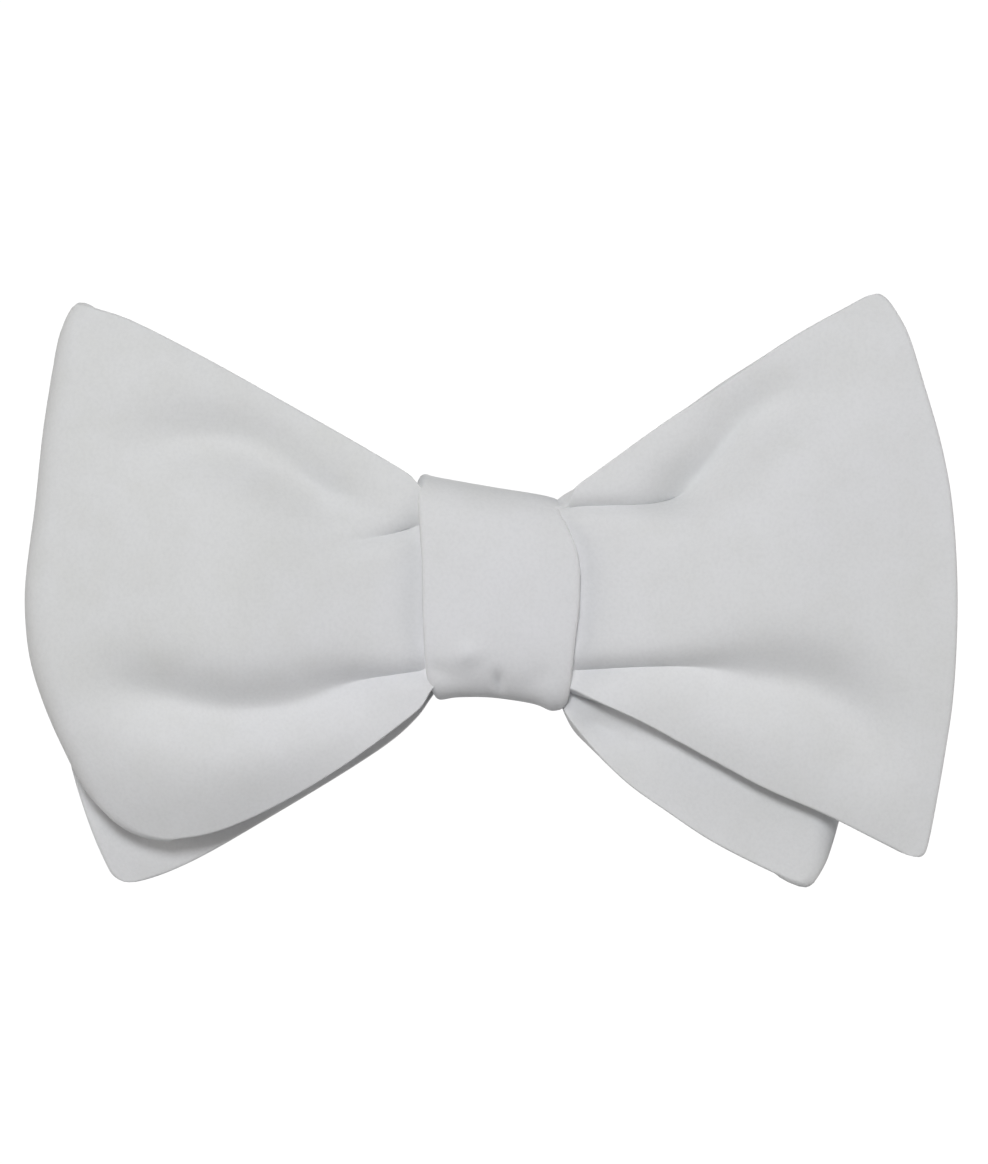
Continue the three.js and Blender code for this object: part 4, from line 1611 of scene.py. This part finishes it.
@dataclass
class Hardware:
    """The slide, hook and eye: stamped steel with softened edges, nickel plated."""

    pieces: tuple[tuple[str, str, Body], ...] = (
        ("adjuster_slide_plated", "adjuster_slide", Body.SLIDE),
        ("hook_plated", "hook", Body.HOOK),
        ("eye_ring_plated", "eye_ring", Body.EYE),
    )
    edge: float = 0.28
    weld: float = 0.02
    flat_degrees: float = 2.0
    sharp_degrees: float = 40.0
    smooth_degrees: float = 35.0

    def build(self, nickel: Material) -> None:
        """Copy each solid, merge it, and round its edges.

        Args:
            nickel: The plating.
        """
        for name, node, body in self.pieces:
            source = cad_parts[node]
            source = bpy.data.objects[source] if isinstance(source, str) else source
            piece = bpy.data.objects.new(name, source.data.copy())
            bpy.context.scene.collection.objects.link(piece)
            piece.data.materials.clear()
            select_only(piece)
            bpy.ops.object.mode_set(mode="EDIT")
            bpy.ops.mesh.select_all(action="SELECT")
            bpy.ops.mesh.remove_doubles(threshold=self.weld * MM)
            bpy.ops.mesh.dissolve_limited(angle_limit=math.radians(self.flat_degrees))
            bpy.ops.object.mode_set(mode="OBJECT")
            apply_modifier(
                piece,
                "BEVEL",
                width=self.edge * MM,
                segments=3,
                limit_method="ANGLE",
                angle_limit=math.radians(self.sharp_degrees),
            )
            select_only(piece)
            bpy.ops.object.shade_smooth_by_angle(angle=math.radians(self.smooth_degrees))
            piece.data.materials.append(nickel)
            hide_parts(node)
            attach(piece, body.value)
            LOG.info("%s: %d vertices", name, len(piece.data.vertices))


# ---------------------------------------------------------------- the studio


@dataclass
class Studio:
    """The floor, the lights and the camera."""

    floor_z: float = -0.4
    floor_size: float = 2.2
    lens: float = 120.0
    sensor: float = 36.0
    view_height: float = 0.1464
    aim: Spot = (-0.0004, -0.0145, 0.001)
    key_place: Spot = (-0.06, -0.92, 0.36)
    key_size: float = 0.24
    side_place: Spot = (0.92, -0.36, 0.08)
    side_size: float = 0.5
    back_place: Spot = (0.2, 1.0, 0.55)
    back_size: float = 0.6
    key_watts: float = 0.71
    side_watts: float = 0.345
    back_watts: float = 1.6
    reflected: float = 0.7  # how much of the white studio shows in polished metal
    surround: float = 0.1
    below: float = 0.04
    backdrop: float = 0.5  # the white backdrop behind the bow, which lights its edges
    seen_white: float = 1.05
    cool: str = "fdfeff"
    warm: str = "fffaf3"
    plain: str = "ffffff"
    beam_degrees: float = 60.0

    def build_floor(self, paper: Material) -> None:
        """Lay the paper floor.

        Args:
            paper: The floor's material.
        """
        bpy.ops.object.select_all(action="DESELECT")
        bpy.ops.mesh.primitive_plane_add(size=self.floor_size, location=(0, 0, 0))
        floor = bpy.context.object
        floor.name = "studio_floor"
        for vertex in floor.data.vertices:
            vertex.co.z = self.floor_z
        floor.data.materials.append(paper)

    def add_light(self, name: str, place: Spot, size: float, watts: float, colour: str, beam: float) -> None:
        """Hang a square soft light that faces the bow.

        Args:
            name: The light's name.
            place: Where it hangs, in metres.
            size: The side of the square, in metres.
            watts: Its power.
            colour: Its sRGB hex colour.
            beam: How wide its beam spreads, in degrees.
        """
        lamp = bpy.data.lights.new(name, "AREA")
        lamp.size = size
        lamp.spread = math.radians(beam)
        lamp.energy = watts
        lamp.color = linear(colour)[:3]
        holder = bpy.data.objects.new(name, lamp)
        holder.location = place
        towards = Vector(self.aim) - Vector(place)
        holder.rotation_euler = towards.to_track_quat("-Z", "Y").to_euler()
        bpy.context.scene.collection.objects.link(holder)

    def build_world(self) -> None:
        """Surround the scene with a white studio that is dimmer from below."""
        world = bpy.data.worlds.new("white_studio")
        world.use_nodes = True
        tree = world.node_tree
        tree.nodes.clear()
        where = add_node(tree, "ShaderNodeTexCoord")
        axes = add_node(tree, "ShaderNodeSeparateXYZ", inputs={0: where.outputs["Generated"]})
        height = add_node(
            tree,
            "ShaderNodeMapRange",
            inputs={
                "Value": axes.outputs["Z"],
                "From Min": -0.6,
                "From Max": 0.5,
                "To Min": self.below,
                "To Max": self.surround,
            },
        )
        behind = add_node(
            tree,
            "ShaderNodeMapRange",
            inputs={"Value": axes.outputs["Y"], "From Min": 0.05, "From Max": 0.45, "To Max": self.backdrop},
        )
        both = add_node(
            tree, "ShaderNodeMath", inputs={0: height.outputs["Result"], 1: behind.outputs["Result"]}
        )
        soft = add_node(tree, "ShaderNodeBackground", inputs={"Color": WHITE, "Strength": both.outputs[0]})
        white = add_node(tree, "ShaderNodeBackground", inputs={"Color": WHITE, "Strength": self.seen_white})
        path = add_node(tree, "ShaderNodeLightPath")
        mirrored = add_node(
            tree,
            "ShaderNodeMath",
            settings={"operation": "MULTIPLY"},
            inputs={0: path.outputs["Is Glossy Ray"], 1: self.reflected},
        )
        seen = add_node(
            tree,
            "ShaderNodeMath",
            settings={"operation": "MAXIMUM"},
            inputs={0: path.outputs["Is Camera Ray"], 1: mirrored.outputs[0]},
        )
        mix = add_node(
            tree, "ShaderNodeMixShader", inputs={0: seen.outputs[0], 1: soft.outputs[0], 2: white.outputs[0]}
        )
        add_node(tree, "ShaderNodeOutputWorld", inputs={"Surface": mix.outputs[0]})
        bpy.context.scene.world = world

    def build_camera(self) -> None:
        """Set the camera square to the bow."""
        lens = bpy.data.cameras.new("bow_camera")
        lens.lens = self.lens
        lens.sensor_width = self.sensor
        lens.clip_start = 0.01
        camera = bpy.data.objects.new("bow_camera", lens)
        distance = self.view_height * self.lens / lens.sensor_width
        camera.location = (self.aim[0], self.aim[1] - distance, self.aim[2])
        camera.rotation_euler = (math.pi / 2, 0, 0)
        bpy.context.scene.collection.objects.link(camera)
        bpy.context.scene.camera = camera

    def build(self, paper: Material) -> None:
        """Build the whole studio.

        Args:
            paper: The floor's material.
        """
        self.build_camera()
        self.build_floor(paper)
        self.build_world()
        narrow, wide = self.beam_degrees, 2 * self.beam_degrees
        self.add_light("key_light", self.key_place, self.key_size, self.key_watts, self.cool, narrow)
        for side in Side:
            x, y, z = self.side_place
            name = f"{side.name.lower()}_side_light"
            self.add_light(name, (side.value * x, y, z), self.side_size, self.side_watts, self.warm, narrow)
        self.add_light("back_light", self.back_place, self.back_size, self.back_watts, self.plain, wide)
        view = bpy.context.scene.view_settings
        view.view_transform = "Standard"
        view.look = "None"
        view.exposure = 0.0
        view.gamma = 1.0


def main() -> None:
    """Build the bow tie and its studio."""
    logging.basicConfig(level=logging.INFO, format="%(name)s: %(message)s")
    Studio().build(Paper().material())
    velvet, satin, thread, nickel = (kind().material() for kind in (Velvet, Satin, Thread, Nickel))
    Knot().build(velvet)
    Bow().build(velvet)
    band = Neckband()
    band.build_strips(velvet, satin)
    band.build_straps(satin)
    band.build_stitching(thread)
    Hardware().build(nickel)


if __name__ == "__main__":
    main()
